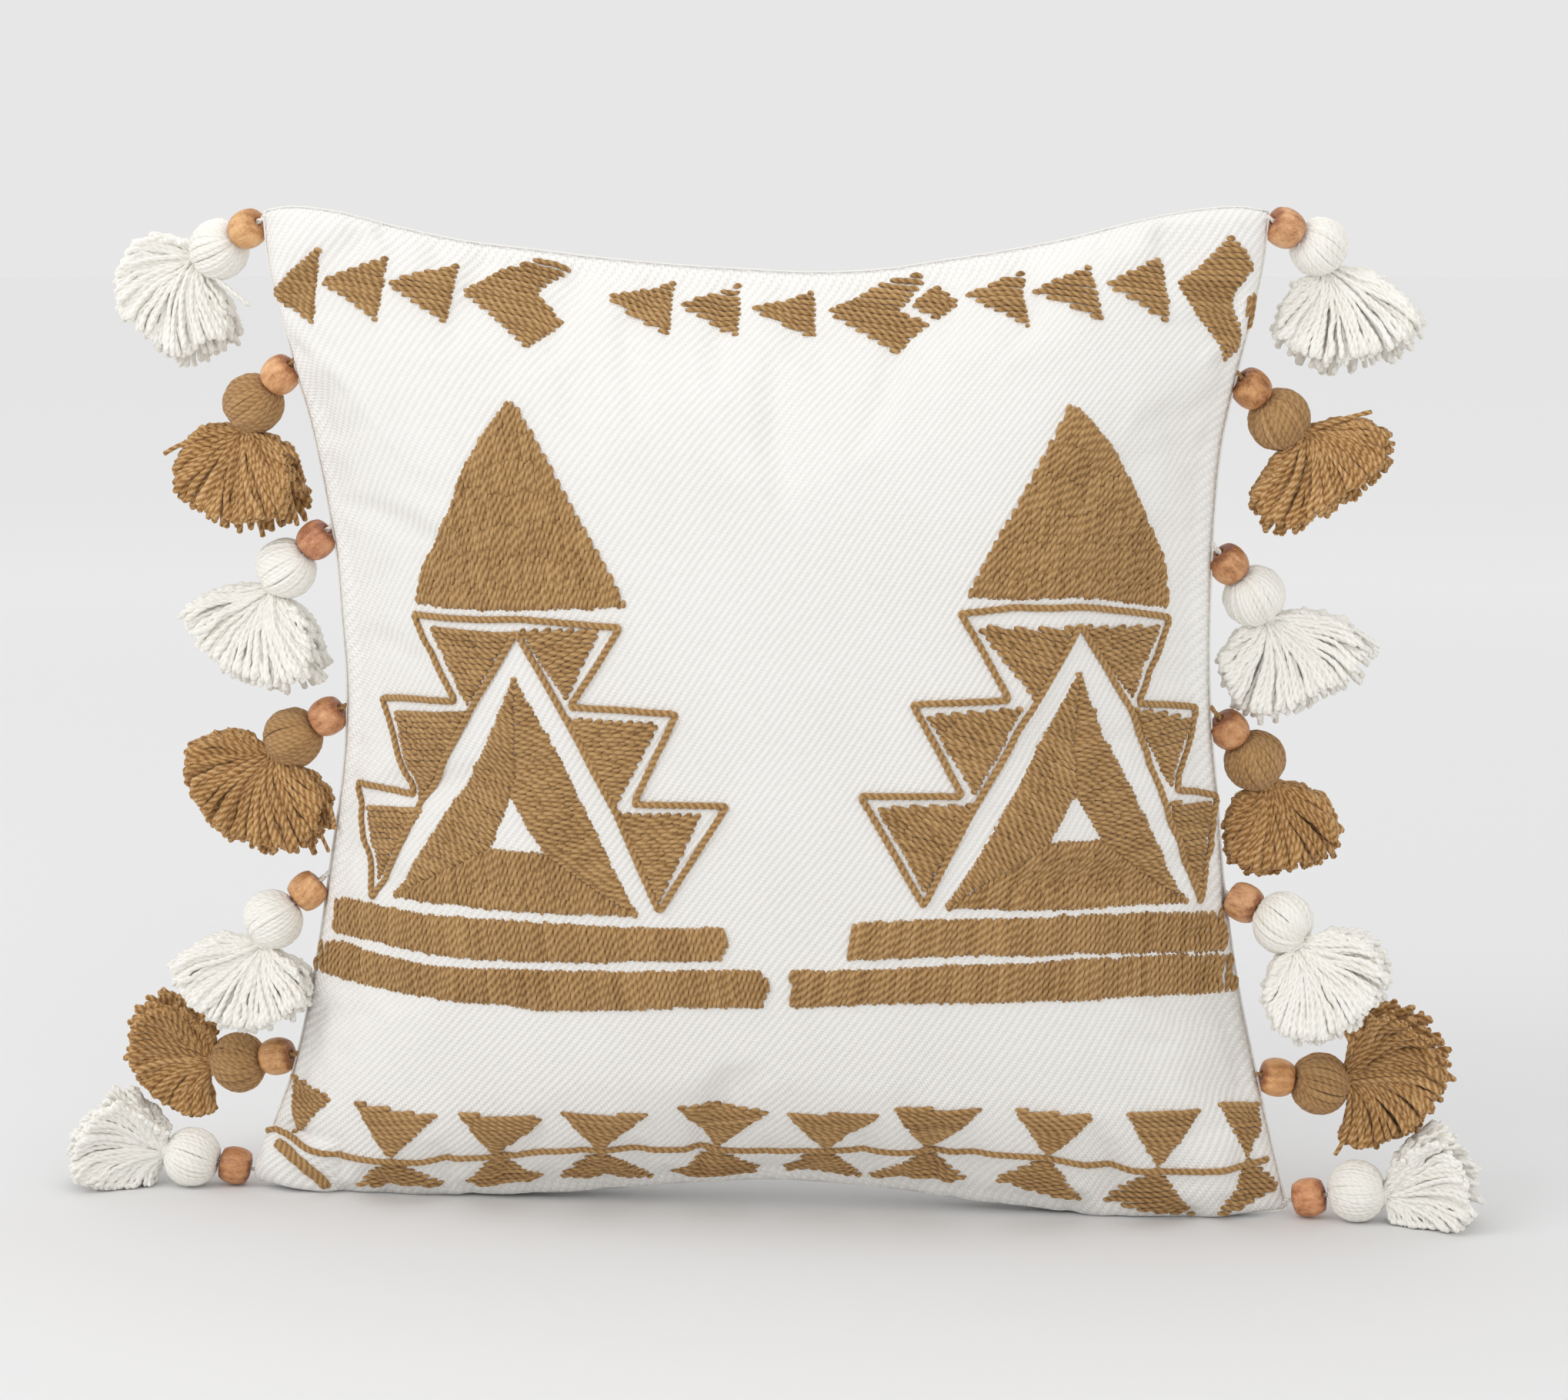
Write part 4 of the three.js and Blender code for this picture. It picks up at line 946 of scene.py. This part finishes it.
# a bar of close stitches across each end of the zip
for end in (-1, 1):
    xb = end * (ZIP_HALF_SPAN + 0.2 + 0.72 * np.arange(9))
    zb = np.linspace(-HEM_HALF_GAP - 1.3, HEM_HALF_GAP + 1.3, 9)
    up = 0.35 - 1.1 * np.abs(np.linspace(-1, 1, 9)) ** 6
    P = zip_point(xb[:, None] + 0 * zb, up[None] + 0 * xb[:, None], zb[None] + 0 * xb[:, None])
    y.add(P, 0.42, np.full(9, 0.7), normal=np.broadcast_to(np.array([0, 1.0, 0]), P.shape), sides=6, ply=0.1, pitch=2.4)
ob = y.build("zip_topstitching", IVORY, "cushion")
for node in ("zip_tape_upper", "zip_tape_lower"):
    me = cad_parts[node].data
    me.materials.clear()
    me.materials.append(TAPE)
for node in ("zip_stop_closed", "zip_stop_open", "zip_slider", "zip_pull_tab"):
    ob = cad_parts[node]
    ob.data.materials.clear()
    ob.data.materials.append(NICKEL)
    b = ob.modifiers.new("softened edges", "BEVEL")
    b.width, b.segments, b.limit_method = 0.00022, 2, "ANGLE"

# ------------------------------------------------------------ tassels
# cord and bead line from the seam; out is the cord's direction, neck and down the skirt's
TASSELS = {
    "l1": ((-238.73, 0.00, 475.00), (-0.78306, 0.40674, -0.47051), (-247.81, 4.72, 469.54), (-272.88, 16.65, 446.49), (-0.51929, 0.19929, -0.83104)),
    "l2": ((-225.37, 0.00, 407.00), (-0.69797, 0.24192, -0.67402), (-232.63, 2.52, 399.99), (-250.50, 9.64, 370.24), (-0.17239, 0.12009, -0.97768)),
    "l3": ((-207.95, 0.00, 328.00), (-0.73591, 0.13917, -0.66262), (-216.19, 1.56, 320.58), (-237.13, 5.69, 291.39), (-0.30827, 0.06942, -0.94876)),
    "l4": ((-203.47, 0.00, 240.00), (-0.83979, 0.13917, -0.52476), (-212.03, 1.42, 234.65), (-237.24, 5.55, 209.29), (-0.43731, 0.06942, -0.89663)),
    "l5": ((-212.25, 0.00, 158.00), (-0.73822, -0.20791, -0.64172), (-222.58, -2.91, 149.02), (-246.16, -9.12, 121.25), (-0.46696, -0.10340, -0.87821)),
    "l6": ((-230.05, 0.00, 67.00), (-0.95677, 0.20791, -0.20337), (-240.58, 2.29, 64.76), (-277.13, 8.50, 60.78), (-0.99403, 0.10340, 0.03471)),
    "l7": ((-250.51, 0.00, 7.50), (-0.96863, -0.13917, 0.20589), (-261.84, -1.63, 9.91), (-297.78, -5.79, 19.73), (-0.93743, -0.06942, 0.34120)),
    "r1": ((236.73, 0.00, 475.00), (0.77042, 0.43837, -0.46291), (244.44, 4.38, 470.37), (266.87, 17.24, 446.33), (0.36592, 0.21410, -0.90568)),
    "r2": ((223.90, 0.00, 403.00), (0.62041, 0.37461, -0.68903), (230.35, 3.90, 395.83), (251.90, 14.90, 367.98), (0.52086, 0.18410, -0.83355)),
    "r3": ((213.55, 0.00, 323.00), (0.57853, 0.34202, -0.74049), (221.07, 4.45, 313.37), (239.37, 14.50, 283.16), (0.36925, 0.16856, -0.91392)),
    "r4": ((214.54, 0.00, 245.00), (0.57853, 0.34202, -0.74049), (222.64, 4.79, 234.63), (240.45, 14.84, 204.23), (0.33713, 0.16856, -0.92625)),
    "r5": ((222.09, 0.00, 157.00), (0.84702, -0.37461, -0.37712), (230.90, -3.90, 153.08), (256.48, -14.90, 131.49), (0.46145, -0.18410, -0.86786)),
    "r6": ((238.35, 0.00, 69.00), (0.95555, 0.24192, -0.16849), (248.10, 2.47, 67.28), (284.32, 9.64, 65.17), (0.98733, 0.12009, 0.10377)),
    "r7": ((252.95, 0.00, 7.50), (0.96863, -0.13917, 0.20589), (264.28, -1.63, 9.91), (301.48, -5.97, 20.00), (0.93743, -0.06942, 0.34120)),
}
# the skirt's edge in its own plane, from the neck: (x, z) offsets, one way round
SKIRTS = {
    "l1": [(-2, 8), (-23, 11), (-34, 8), (-43, -10), (-40, -31), (-25, -44), (-7, -56), (7, -49), (19, -43), (14, -18)],
    "l2": [(-19, 2), (-30, -8), (-36, -21), (-34, -36), (-27, -42), (-11, -51), (5, -54), (19, -50), (30, -46), (28, -28), (24, -13), (13, -4)],
    "l3": [(-18, 1), (-38, -6), (-47, -14), (-37, -30), (-22, -45), (4, -53), (19, -51), (27, -47), (25, -31), (21, -18), (10, -7)],
    "l4": [(-12, 10), (-31, 9), (-44, 3), (-46, -9), (-43, -21), (-34, -34), (-24, -44), (-4, -51), (19, -53), (28, -41), (30, -26), (19, -9)],
    "l5": [(-19, 5), (-36, -1), (-47, -10), (-43, -22), (-38, -31), (-21, -42), (-5, -46), (12, -40), (26, -30), (23, -16), (16, -8)],
    "l6": [(1, -28), (-5, -31), (-16, -30), (-32, -20), (-41, -8), (-45, 3), (-44, 20), (-38, 29), (-30, 33), (-15, 29), (-4, 18), (3, 12)],
    "l7": [(-5, -20), (-18, -23), (-33, -20), (-47, -14), (-50, -5), (-47, 11), (-36, 26), (-25, 32), (-9, 21), (3, 9)],
    "r1": [(20, -1), (39, -15), (50, -28), (43, -40), (28, -47), (2, -53), (-13, -48), (-28, -35), (-21, -17), (-13, -6)],
    "r2": [(17, 6), (35, 4), (45, -3), (43, -17), (33, -28), (23, -34), (9, -45), (-5, -53), (-20, -48), (-27, -35), (-18, -21), (-9, -8)],
    "r3": [(16, 4), (42, -3), (54, -16), (47, -30), (27, -41), (12, -49), (-5, -51), (-17, -45), (-26, -23), (-17, -10), (-9, -4)],
    "r4": [(17, -1), (32, -10), (40, -23), (34, -36), (17, -43), (-4, -47), (-18, -41), (-21, -23), (-16, -10), (-8, -4)],
    "r5": [(16, 9), (38, 5), (48, -11), (44, -24), (29, -40), (14, -47), (0, -48), (-11, -41), (-17, -27), (-13, -11), (-8, -4)],
    "r6": [(-5, -31), (6, -36), (15, -34), (34, -27), (47, -12), (53, 2), (49, 17), (40, 32), (23, 39), (6, 36), (-1, 21)],
    "r7": [(1, -14), (16, -18), (28, -17), (42, -13), (47, -3), (45, 15), (38, 28), (28, 37), (13, 28), (3, 13)],
}
BALL = 15.0
# where each skirt is tied on, (x, z), and its stray strands: (by way of, to) from there
NECKS = {"l1": (-273, 456), "l2": (-252, 375), "l3": (-240, 296), "l4": (-240, 216), "l5": (-246, 118), "l6": (-274, 62), "l7": (-296, 18), "r1": (264, 454), "r2": (255, 375), "r3": (240, 287), "r4": (240, 208), "r5": (255, 136), "r6": (280, 66), "r7": (302, 13)}
STRAYS = {"l1": [((13, -11), (27, -22))], "l2": [((-22, -2), (-38, -12)), ((14, -4), (28, -13)), ((22, -14), (27, -46))], "l4": [((22, -6), (34, -34)), ((14, -10), (29, -47))], "l6": [((-10, 22), (6, 34))], "r2": [((14, 6), (31, 10)), ((24, 1), (42, -5))], "r6": [((4, -22), (-5, -36))], "r3": [((26, 8), (52, -12))]}
WOODS = {
    "l1": ((170, 112, 60), (222, 170, 114), (242, 202, 152)),
    "l2": ((160, 98, 56), (218, 160, 108), (240, 194, 146)),
    "l3": ((142, 80, 50), (198, 136, 96), (226, 172, 132)),
    "l4": ((150, 88, 52), (206, 146, 100), (232, 182, 136)),
    "l5": ((166, 104, 60), (220, 166, 112), (242, 200, 150)),
    "l6": ((142, 88, 48), (204, 150, 96), (232, 188, 134)),
    "l7": ((132, 76, 44), (192, 134, 88), (220, 168, 120)),
    "r1": ((146, 86, 50), (208, 152, 104), (234, 188, 142)),
    "r2": ((120, 66, 32), (192, 134, 82), (230, 180, 124)),
    "r3": ((126, 70, 36), (194, 136, 88), (226, 176, 126)),
    "r4": ((130, 74, 40), (196, 138, 90), (228, 178, 128)),
    "r5": ((150, 92, 56), (212, 158, 112), (236, 190, 144)),
    "r6": ((152, 92, 50), (214, 156, 100), (238, 190, 136)),
    "r7": ((146, 82, 48), (208, 144, 98), (232, 176, 128)),
}

# depth of the pillow beside its side seams, for the yarn that hangs against it
_g = np.linspace(0, 1, 700)
_S, _T = np.meshgrid(_g, _g)
_F = skin(_S, _T, -1)
DEPTH = np.zeros((560, 500))
np.maximum.at(DEPTH, (np.clip((_F[..., 0] + 280).astype(int), 0, 559), np.clip(_F[..., 2].astype(int), 0, 499)), -_F[..., 1])


def depth_at(x, z):
    return DEPTH[np.clip((x + 280).astype(int), 0, 559), np.clip(z.astype(int), 0, 499)]


def clear_of_cover(P, margin=2.0):
    """Moves yarn that would run into the pillow to the front or the back of it."""
    d = depth_at(P[..., 0], P[..., 2])
    need = np.where(d > 0.5, d + margin, 0)
    side = np.where(P[:, -1:, 1] > 6, 1.0, -1.0)
    y = P[..., 1]
    hit = (need > 0) & (np.abs(y) < need)
    y2 = np.where(hit, side * need, y)
    # smooth along the strand
    for _ in range(3):
        y2[:, 1:-1] = np.maximum(np.abs(y2[:, 1:-1]), np.abs(y2[:, :-2] + 2 * y2[:, 1:-1] + y2[:, 2:]) / 4) * np.sign(np.where(y2[:, 1:-1] == 0, 1, y2[:, 1:-1]))
    P[..., 1] = y2
    return P


def bezier(p0, p1, p2, p3, n):
    f = np.linspace(0, 1, n)[None, :, None]
    return p0[:, None] * (1 - f) ** 3 + 3 * p1[:, None] * f * (1 - f) ** 2 + 3 * p2[:, None] * f * f * (1 - f) + p3[:, None] * f**3


def bead_mesh(name, centre, axis, radius, length, bore, mat):
    prof = []
    half = length / 2
    for k in range(19):
        u = -math.cos(math.pi * k / 18)
        z = half * math.copysign(abs(u) ** 0.9, u)
        x = abs(z) / half
        prof.append((radius * (1 - 0.30 * x**2.4) * (1 - 0.34 * smooth(0.86, 1.0, x) ** 1.6), z))
    lip = prof[0][1]
    prof = [(bore, -lip - 0 if False else lip + 1.6), (bore + 0.15, lip + 0.7), (bore + 0.7, lip + 0.12), (bore + 1.4, lip + 0.02)] + prof + [(bore + 1.4, -lip - 0.02), (bore + 0.7, -lip - 0.12), (bore + 0.15, -lip - 0.7), (bore, -lip - 1.6)]
    m = 40
    prof = np.array(prof)
    a = np.arange(m) / m * 2 * math.pi
    V = np.stack([prof[:, :1] * np.cos(a), prof[:, :1] * np.sin(a), np.broadcast_to(prof[:, 1:], (len(prof), m))], -1)
    n = len(prof)
    i, j = np.meshgrid(np.arange(n), np.arange(m), indexing="ij")
    i2 = (i + 1) % n
    q = np.stack([i * m + j, i * m + (j + 1) % m, i2 * m + (j + 1) % m, i2 * m + j], -1).reshape(-1, 4)
    ob = make_object(name, V.reshape(-1, 3) * MM, q, mats=[mat])
    ob.rotation_mode = "QUATERNION"
    ob.rotation_quaternion = Vector((0, 0, 1)).rotation_difference(Vector(axis))
    ob.location = Vector((np.array(centre) + SHIFT) * MM)
    bpy.context.view_layer.update()
    return ob


def make_tassel(index, tid):
    anchor, out, bead, neck, down = (np.array(v, float) for v in TASSELS[tid])
    rr = np.random.default_rng(1000 + index)
    ivory = int(tid[1]) % 2 == 1
    ball_c = neck - down * (BALL + 0.4)
    # the yarn is tied where it leaves the ball, which need not be straight under it
    tie = np.array([NECKS[tid][0], ball_c[1] + down[1] * BALL, NECKS[tid][1]], float)
    leave = unit(tie - ball_c)
    size = 13.5 if tid == "r1" else 14.5
    ball_c = ball_c - down * (BALL - size)
    tie = ball_c + leave * (size - 1.2)
    out = unit(out)
    side = unit(np.cross(out, np.array([0.1, 1, 0.05])))
    third = np.cross(out, side)
    # bead
    wd, wm, wl = WOODS[tid]
    b = bead_mesh(f"bead_{tid}", bead, out, 9.3, 15.6, 2.0, wood_material(f"bead_wood_{tid}", lin(*wd), lin(*wm), lin(*wl), index + 1))
    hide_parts(f"tassel_{tid}_bead")
    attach(b, f"tassel_{tid}_bead")
    # hanging cord: two strands from the seam through the bead to the ball
    head = Yarn()
    reach = np.linalg.norm(ball_c - anchor)
    f = np.linspace(-1.5, reach - size + 2.5, 26)
    for k in (0, 1):
        ang = 2 * math.pi * (f / 9.0 + k / 2)
        P = anchor + out * f[:, None] + (np.cos(ang)[:, None] * side + np.sin(ang)[:, None] * third) * 0.62
        head.add(P[None], np.full((1, 26), 0.78), [0.5], sides=6, ply=0.08, pitch=4.0)
    # wound yarn from pole to pole
    K, n = 38, 17
    lon = 2 * math.pi * (np.arange(K) + rr.normal(0, 0.12, K)) / K
    pol = np.linspace(0.17, math.pi - 0.17, n)
    tw = math.radians(34) + rr.normal(0, 0.05, K)
    a = lon[:, None] + tw[:, None] * (pol[None] / math.pi - 0.5)
    rad = (size - 1.25 + rr.normal(0, 0.22, (K, 1))) + 0.35 * np.sin(pol)[None] - 1.6 * np.exp(-pol / 0.25)[None] - 1.6 * np.exp(-(math.pi - pol) / 0.25)[None]
    sp, cp = np.sin(pol)[None] * rad, np.cos(pol)[None] * rad
    P = ball_c + (sp * np.cos(a))[..., None] * side + (sp * np.sin(a))[..., None] * third - cp[..., None] * out
    R = np.broadcast_to(0.7 + 0.72 * np.sin(pol)[None] ** 0.7, (K, n))
    head.add(P, R, np.clip(0.5 + rr.normal(0, 0.15, K), 0, 1), normal=unit(P - ball_c), sides=7, ply=0.1, pitch=7.0, flat=0.9, seed=index)
    # a few crossing strands, as the last of the winding
    K2 = 5
    lon = rr.random(K2) * 2 * math.pi
    a = lon[:, None] + (1.0 + 0.5 * rr.random((K2, 1))) * (pol[None] / math.pi - 0.5)
    rad = np.full((K2, n), size - 0.3) - 2.6 * np.exp(-pol / 0.3)[None] - 2.6 * np.exp(-(math.pi - pol) / 0.3)[None]
    sp, cp = np.sin(pol)[None] * rad, np.cos(pol)[None] * rad
    P = ball_c + (sp * np.cos(a))[..., None] * side + (sp * np.sin(a))[..., None] * third - cp[..., None] * out
    head.add(P, 0.95, np.clip(0.55 + rr.normal(0, 0.15, K2), 0, 1), normal=unit(P - ball_c), sides=6, ply=0.1, pitch=7.5, flat=0.8, seed=index + 40)
    # core
    ob = head.build(f"tassel_{tid}_ball", BALL_IVORY if ivory else BALL_BROWN, f"tassel_{tid}")
    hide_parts(f"tassel_{tid}_head")
    # core that the yarn is wound on
    m, n2 = 24, 12
    a = np.arange(m) / m * 2 * math.pi
    ph = np.linspace(0.02, math.pi - 0.02, n2)
    V = np.stack([np.sin(ph)[:, None] * np.cos(a), np.sin(ph)[:, None] * np.sin(a), np.broadcast_to(np.cos(ph)[:, None], (n2, m))], -1).reshape(-1, 3) * (size - 1.6) + ball_c
    i, j = np.meshgrid(np.arange(n2 - 1), np.arange(m), indexing="ij")
    q = np.stack([i * m + j, (i + 1) * m + j, (i + 1) * m + (j + 1) % m, i * m + (j + 1) % m], -1).reshape(-1, 4)
    caps = [(k, (k + 1) % m, n2 * m) for k in range(m)] + [((n2 - 1) * m + (k + 1) % m, (n2 - 1) * m + k, n2 * m + 1) for k in range(m)]
    V = np.vstack([V, ball_c + [0, 0, size - 1.6], ball_c - [0, 0, size - 1.6]])
    core = make_object(f"tassel_{tid}_core", (V + SHIFT) * MM, q, caps, mats=[IVORY if ivory else BALL_BROWN])
    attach(core, f"tassel_{tid}")

    # skirt
    edge_pts = np.array(SKIRTS[tid], float)
    seg = np.linalg.norm(np.diff(edge_pts, axis=0), axis=1)
    L = np.concatenate([[0], np.cumsum(seg)]) / seg.sum()
    K = 290
    k = np.arange(K)
    # even over a flattened dome: fan position along the edge, and depth
    fan = ((k * 0.6180339887) % 1) * 0.97 + 0.015
    layer = np.where(rr.random(K) < 0.66, 0.84 + 0.16 * rr.random(K), 0.86 * rr.random(K))  # 0 middle, 1 outermost
    sgn = np.where(k % 2 == 0, -1.0, 1.0)
    ex = np.interp(fan, L, edge_pts[:, 0]) * 0.95
    ez = np.interp(fan, L, edge_pts[:, 1]) * 0.95
    r = np.hypot(ex, ez)
    mid = np.abs(2 * fan - 1)
    q3 = sgn * layer * (0.46 * np.sqrt(np.clip(1 - mid**2.2, 0, 1)) + 0.07)  # depth over reach
    cut = 1 + rr.normal(0, 0.02, K)
    reach2 = np.maximum(r, 30)
    depth = q3 * reach2
    u2 = np.stack([ex / r, 0 * ex, ez / r], 1)
    flat_r = r * (1 - 0.30 * q3**2 * 2) * cut
    end = tie + u2 * flat_r[:, None] + np.array([0, 1.0, 0]) * depth[:, None]
    end[:, 1] += down[1] * flat_r * 0.25
    axis = unit(np.array([edge_pts[:, 0].mean(), 0, edge_pts[:, 1].mean()]))
    ydir = np.array([0, 1.0, 0])
    bulge = unit(u2 + ydir * (q3 * 1.9)[:, None] + leave * 0.35)
    p0 = tie - leave * 1.5 + rr.normal(0, 1.0, (K, 3)) + bulge * (2.4 * layer)[:, None]
    dist = np.linalg.norm(end - p0, axis=1)[:, None]
    up = np.array([0, 0, 1.0])
    p1 = p0 + unit(bulge + leave * 0.25 + up * 0.22 * layer[:, None]) * dist * 0.42
    p2 = end - unit(end - p1 - up * dist * 0.30) * dist * 0.30
    n = 18
    P = bezier(p0, p1, p2, end, n)
    f = np.linspace(0, 1, n)[None, :]
    amp = rr.normal(0, 0.8, (K, 1))
    per = 1.2 + 1.6 * rr.random((K, 1))
    P += (amp * f * np.sin(per * f * 2 * math.pi + rr.random((K, 1)) * 6))[..., None] * np.cross(unit(P[:, -1] - P[:, 0]), np.array([0, 1.0, 0]))[:, None]
    P[..., 1] += rr.normal(0, 0.7, (K, 1)) * f
    P = clear_of_cover(P)
    floor = 2.1
    P[..., 2] = np.where(P[..., 2] < floor, floor + 0.0 * P[..., 2], P[..., 2])
    R = 1.3 * (0.62 + 0.38 * smooth(0.0, 0.22, f)) * (1 + 0.34 * smooth(0.7, 0.93, f) - 0.2 * smooth(0.93, 1.0, f)) * (1 + rr.normal(0, 0.05, (K, 1)))
    skirt = Yarn()
    # random tone per strand, with the inner layers of the skirt a little darker: painted shade inside the skirt
    tone = np.clip(0.5 + rr.normal(0, 0.17, K) + 0.12 * (layer - 0.5), 0, 1)
    skirt.add(P, R, tone, sides=5, ply=0.19, pitch=8.4, seed=index + 80)
    # strands that have come away from the rest
    for c, (via, to) in enumerate(STRAYS.get(tid, ())):
        a = tie + [0, -4.0, 0]
        b = tie + [via[0], -11.0, via[1]]
        e = tie + [to[0], -8.0, to[1]]
        S = bezier(a[None], (a * 0.4 + b * 0.6)[None], (b * 0.7 + e * 0.3)[None], e[None], 22)
        skirt.add(clear_of_cover(S), 1.15, [0.55], sides=6, ply=0.2, pitch=8.0, seed=c)
    # tie round the neck
    f2 = np.linspace(0, 1, 60)
    an = 2 * math.pi * 3 * f2
    ax = leave
    e1 = unit(np.cross(ax, np.array([0.2, 1, 0.1])))
    e2 = np.cross(ax, e1)
    P2 = tie + ax * (-1.2 + 2.4 * f2[:, None]) + (np.cos(an)[:, None] * e1 + np.sin(an)[:, None] * e2) * 4.6
    skirt.add(P2[None], np.full((1, 60), 0.85), [0.6], sides=6, ply=0.12, pitch=4.0)
    ob = skirt.build(f"tassel_{tid}_yarns", IVORY if ivory else BROWN, f"tassel_{tid}_skirt")
    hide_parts(f"tassel_{tid}_skirt")


for index, tid in enumerate(TASSELS):
    make_tassel(index, tid)

# the rolled edge where the front and the back are sewn together
roll = Yarn()
f = np.linspace(0.004, 0.996, 150)
for S, T in ((0 * f, f), (0 * f + 1, f), (f, 0 * f + 1), (f, 0 * f)):
    P = (cover_point(S, T, -1) + cover_point(S, T, 1)) / 2
    P[:, 1] = 0
    P[:, 2] = np.maximum(P[:, 2], 0.8)
    roll.add(P[None], 0.6, [0.5], sides=6, ply=0.0, pitch=30.0)
for x0, x1 in ((-1, -ZIP_HALF_SPAN), (ZIP_HALF_SPAN, 1)):
    # the short closed seam from each end of the zip to the side
    S = np.linspace(0.006, 0.5, 700) if x0 == -1 else np.linspace(0.5, 0.994, 700)
    P = cover_point(S, np.full(700, t_zip), 1)
    P = P[np.abs(P[:, 0]) > ZIP_HALF_SPAN - 1][::3]
    P[:, 2] = ZIP_Z
    P[:, 1] -= 1.35
    roll.add(P[None], 0.7, [0.5], sides=6, ply=0.0, pitch=30.0)
roll.build("cover_seam_edge", SEAM, "cushion")

# ------------------------------------------------------------ studio
def studio():
    """A wide plain floor. Its colour pales with distance, painted light, so that it meets the air without a line."""
    rings = [0.0, 0.3, 0.6, 1.0, 1.6, 2.5, 4.0, 7.0, 12.0, 22.0]
    m = 48
    a = np.arange(m) / m * 2 * math.pi
    V = np.stack([np.outer(rings, np.cos(a)), np.outer(rings, np.sin(a)), np.zeros((len(rings), m))], -1).reshape(-1, 3)[m - 1 :]
    V[0] = 0
    i, j = np.meshgrid(np.arange(len(rings) - 2), np.arange(m), indexing="ij")
    q = np.stack([i * m + j, i * m + (j + 1) % m, (i + 1) * m + (j + 1) % m, (i + 1) * m + j], -1).reshape(-1, 4)[:, ::-1] + 1
    t = [(0, 1 + k, 1 + (k + 1) % m) for k in range(m)]
    sh = Nodes("studio_paper")
    far = sh.new("ShaderNodeVectorMath")
    far.operation = "LENGTH"
    sh.nt.links.new(sh.coord(), far.inputs[0])
    # the floor's colour: 0.80 near the pillow, paler far off, painted light
    sh.finish(sh.ramp(sh.math("MULTIPLY", far.outputs["Value"], 0.1), (0.05, (0.80, 0.80, 0.803)), (0.3, (0.975, 0.975, 0.977))), 0.9, Specular_IOR_Level=0.1)
    ob = make_object("studio_floor", V, q, t, mats=[sh.mat])


studio()


def area(name, at, to, size, power, color=(1, 1, 1)):
    d = bpy.data.lights.new(name, "AREA")
    d.shape = "RECTANGLE"
    d.size, d.size_y = size
    d.energy, d.color = power, color
    ob = bpy.data.objects.new(name, d)
    ob.location = at
    ob.rotation_euler = (Vector(to) - Vector(at)).to_track_quat("-Z", "Y").to_euler()
    bpy.context.scene.collection.objects.link(ob)


area("key", (-1.6, -1.5, 1.7), (0, 0, 0.22), (1.7, 1.6), 18)
area("fill", (1.3, -1.9, 1.3), (0, 0, 0.22), (1.8, 1.6), 6)
area("top", (0.0, 0.3, 2.4), (0, 0, 0.2), (2.0, 1.4), 6)
world = bpy.data.worlds.new("studio")
world.use_nodes = True
world.node_tree.nodes["Background"].inputs["Color"].default_value = (1.0, 1.0, 1.0, 1)
world.node_tree.nodes["Background"].inputs["Strength"].default_value = 0.80
scene = bpy.context.scene
scene.world = world
scene.view_settings.view_transform = "Standard"
scene.view_settings.look = "None"

cam = bpy.data.cameras.new("camera")
cam.sensor_fit = "HORIZONTAL"
cam.sensor_width = 36.0
cam.lens = 36.0 * 4764 / 2038
cam.clip_start, cam.clip_end = 0.05, 30
ob = bpy.data.objects.new("camera", cam)
target = Vector((np.array([11.1, 0, 246.2]) + SHIFT) * MM)
ob.location = Vector((np.array([204.5, -1726.25, 483.1]) + SHIFT) * MM)
ob.rotation_euler = (target - ob.location).to_track_quat("-Z", "Y").to_euler()
scene.collection.objects.link(ob)
scene.camera = ob

bpy.context.view_layer.update()
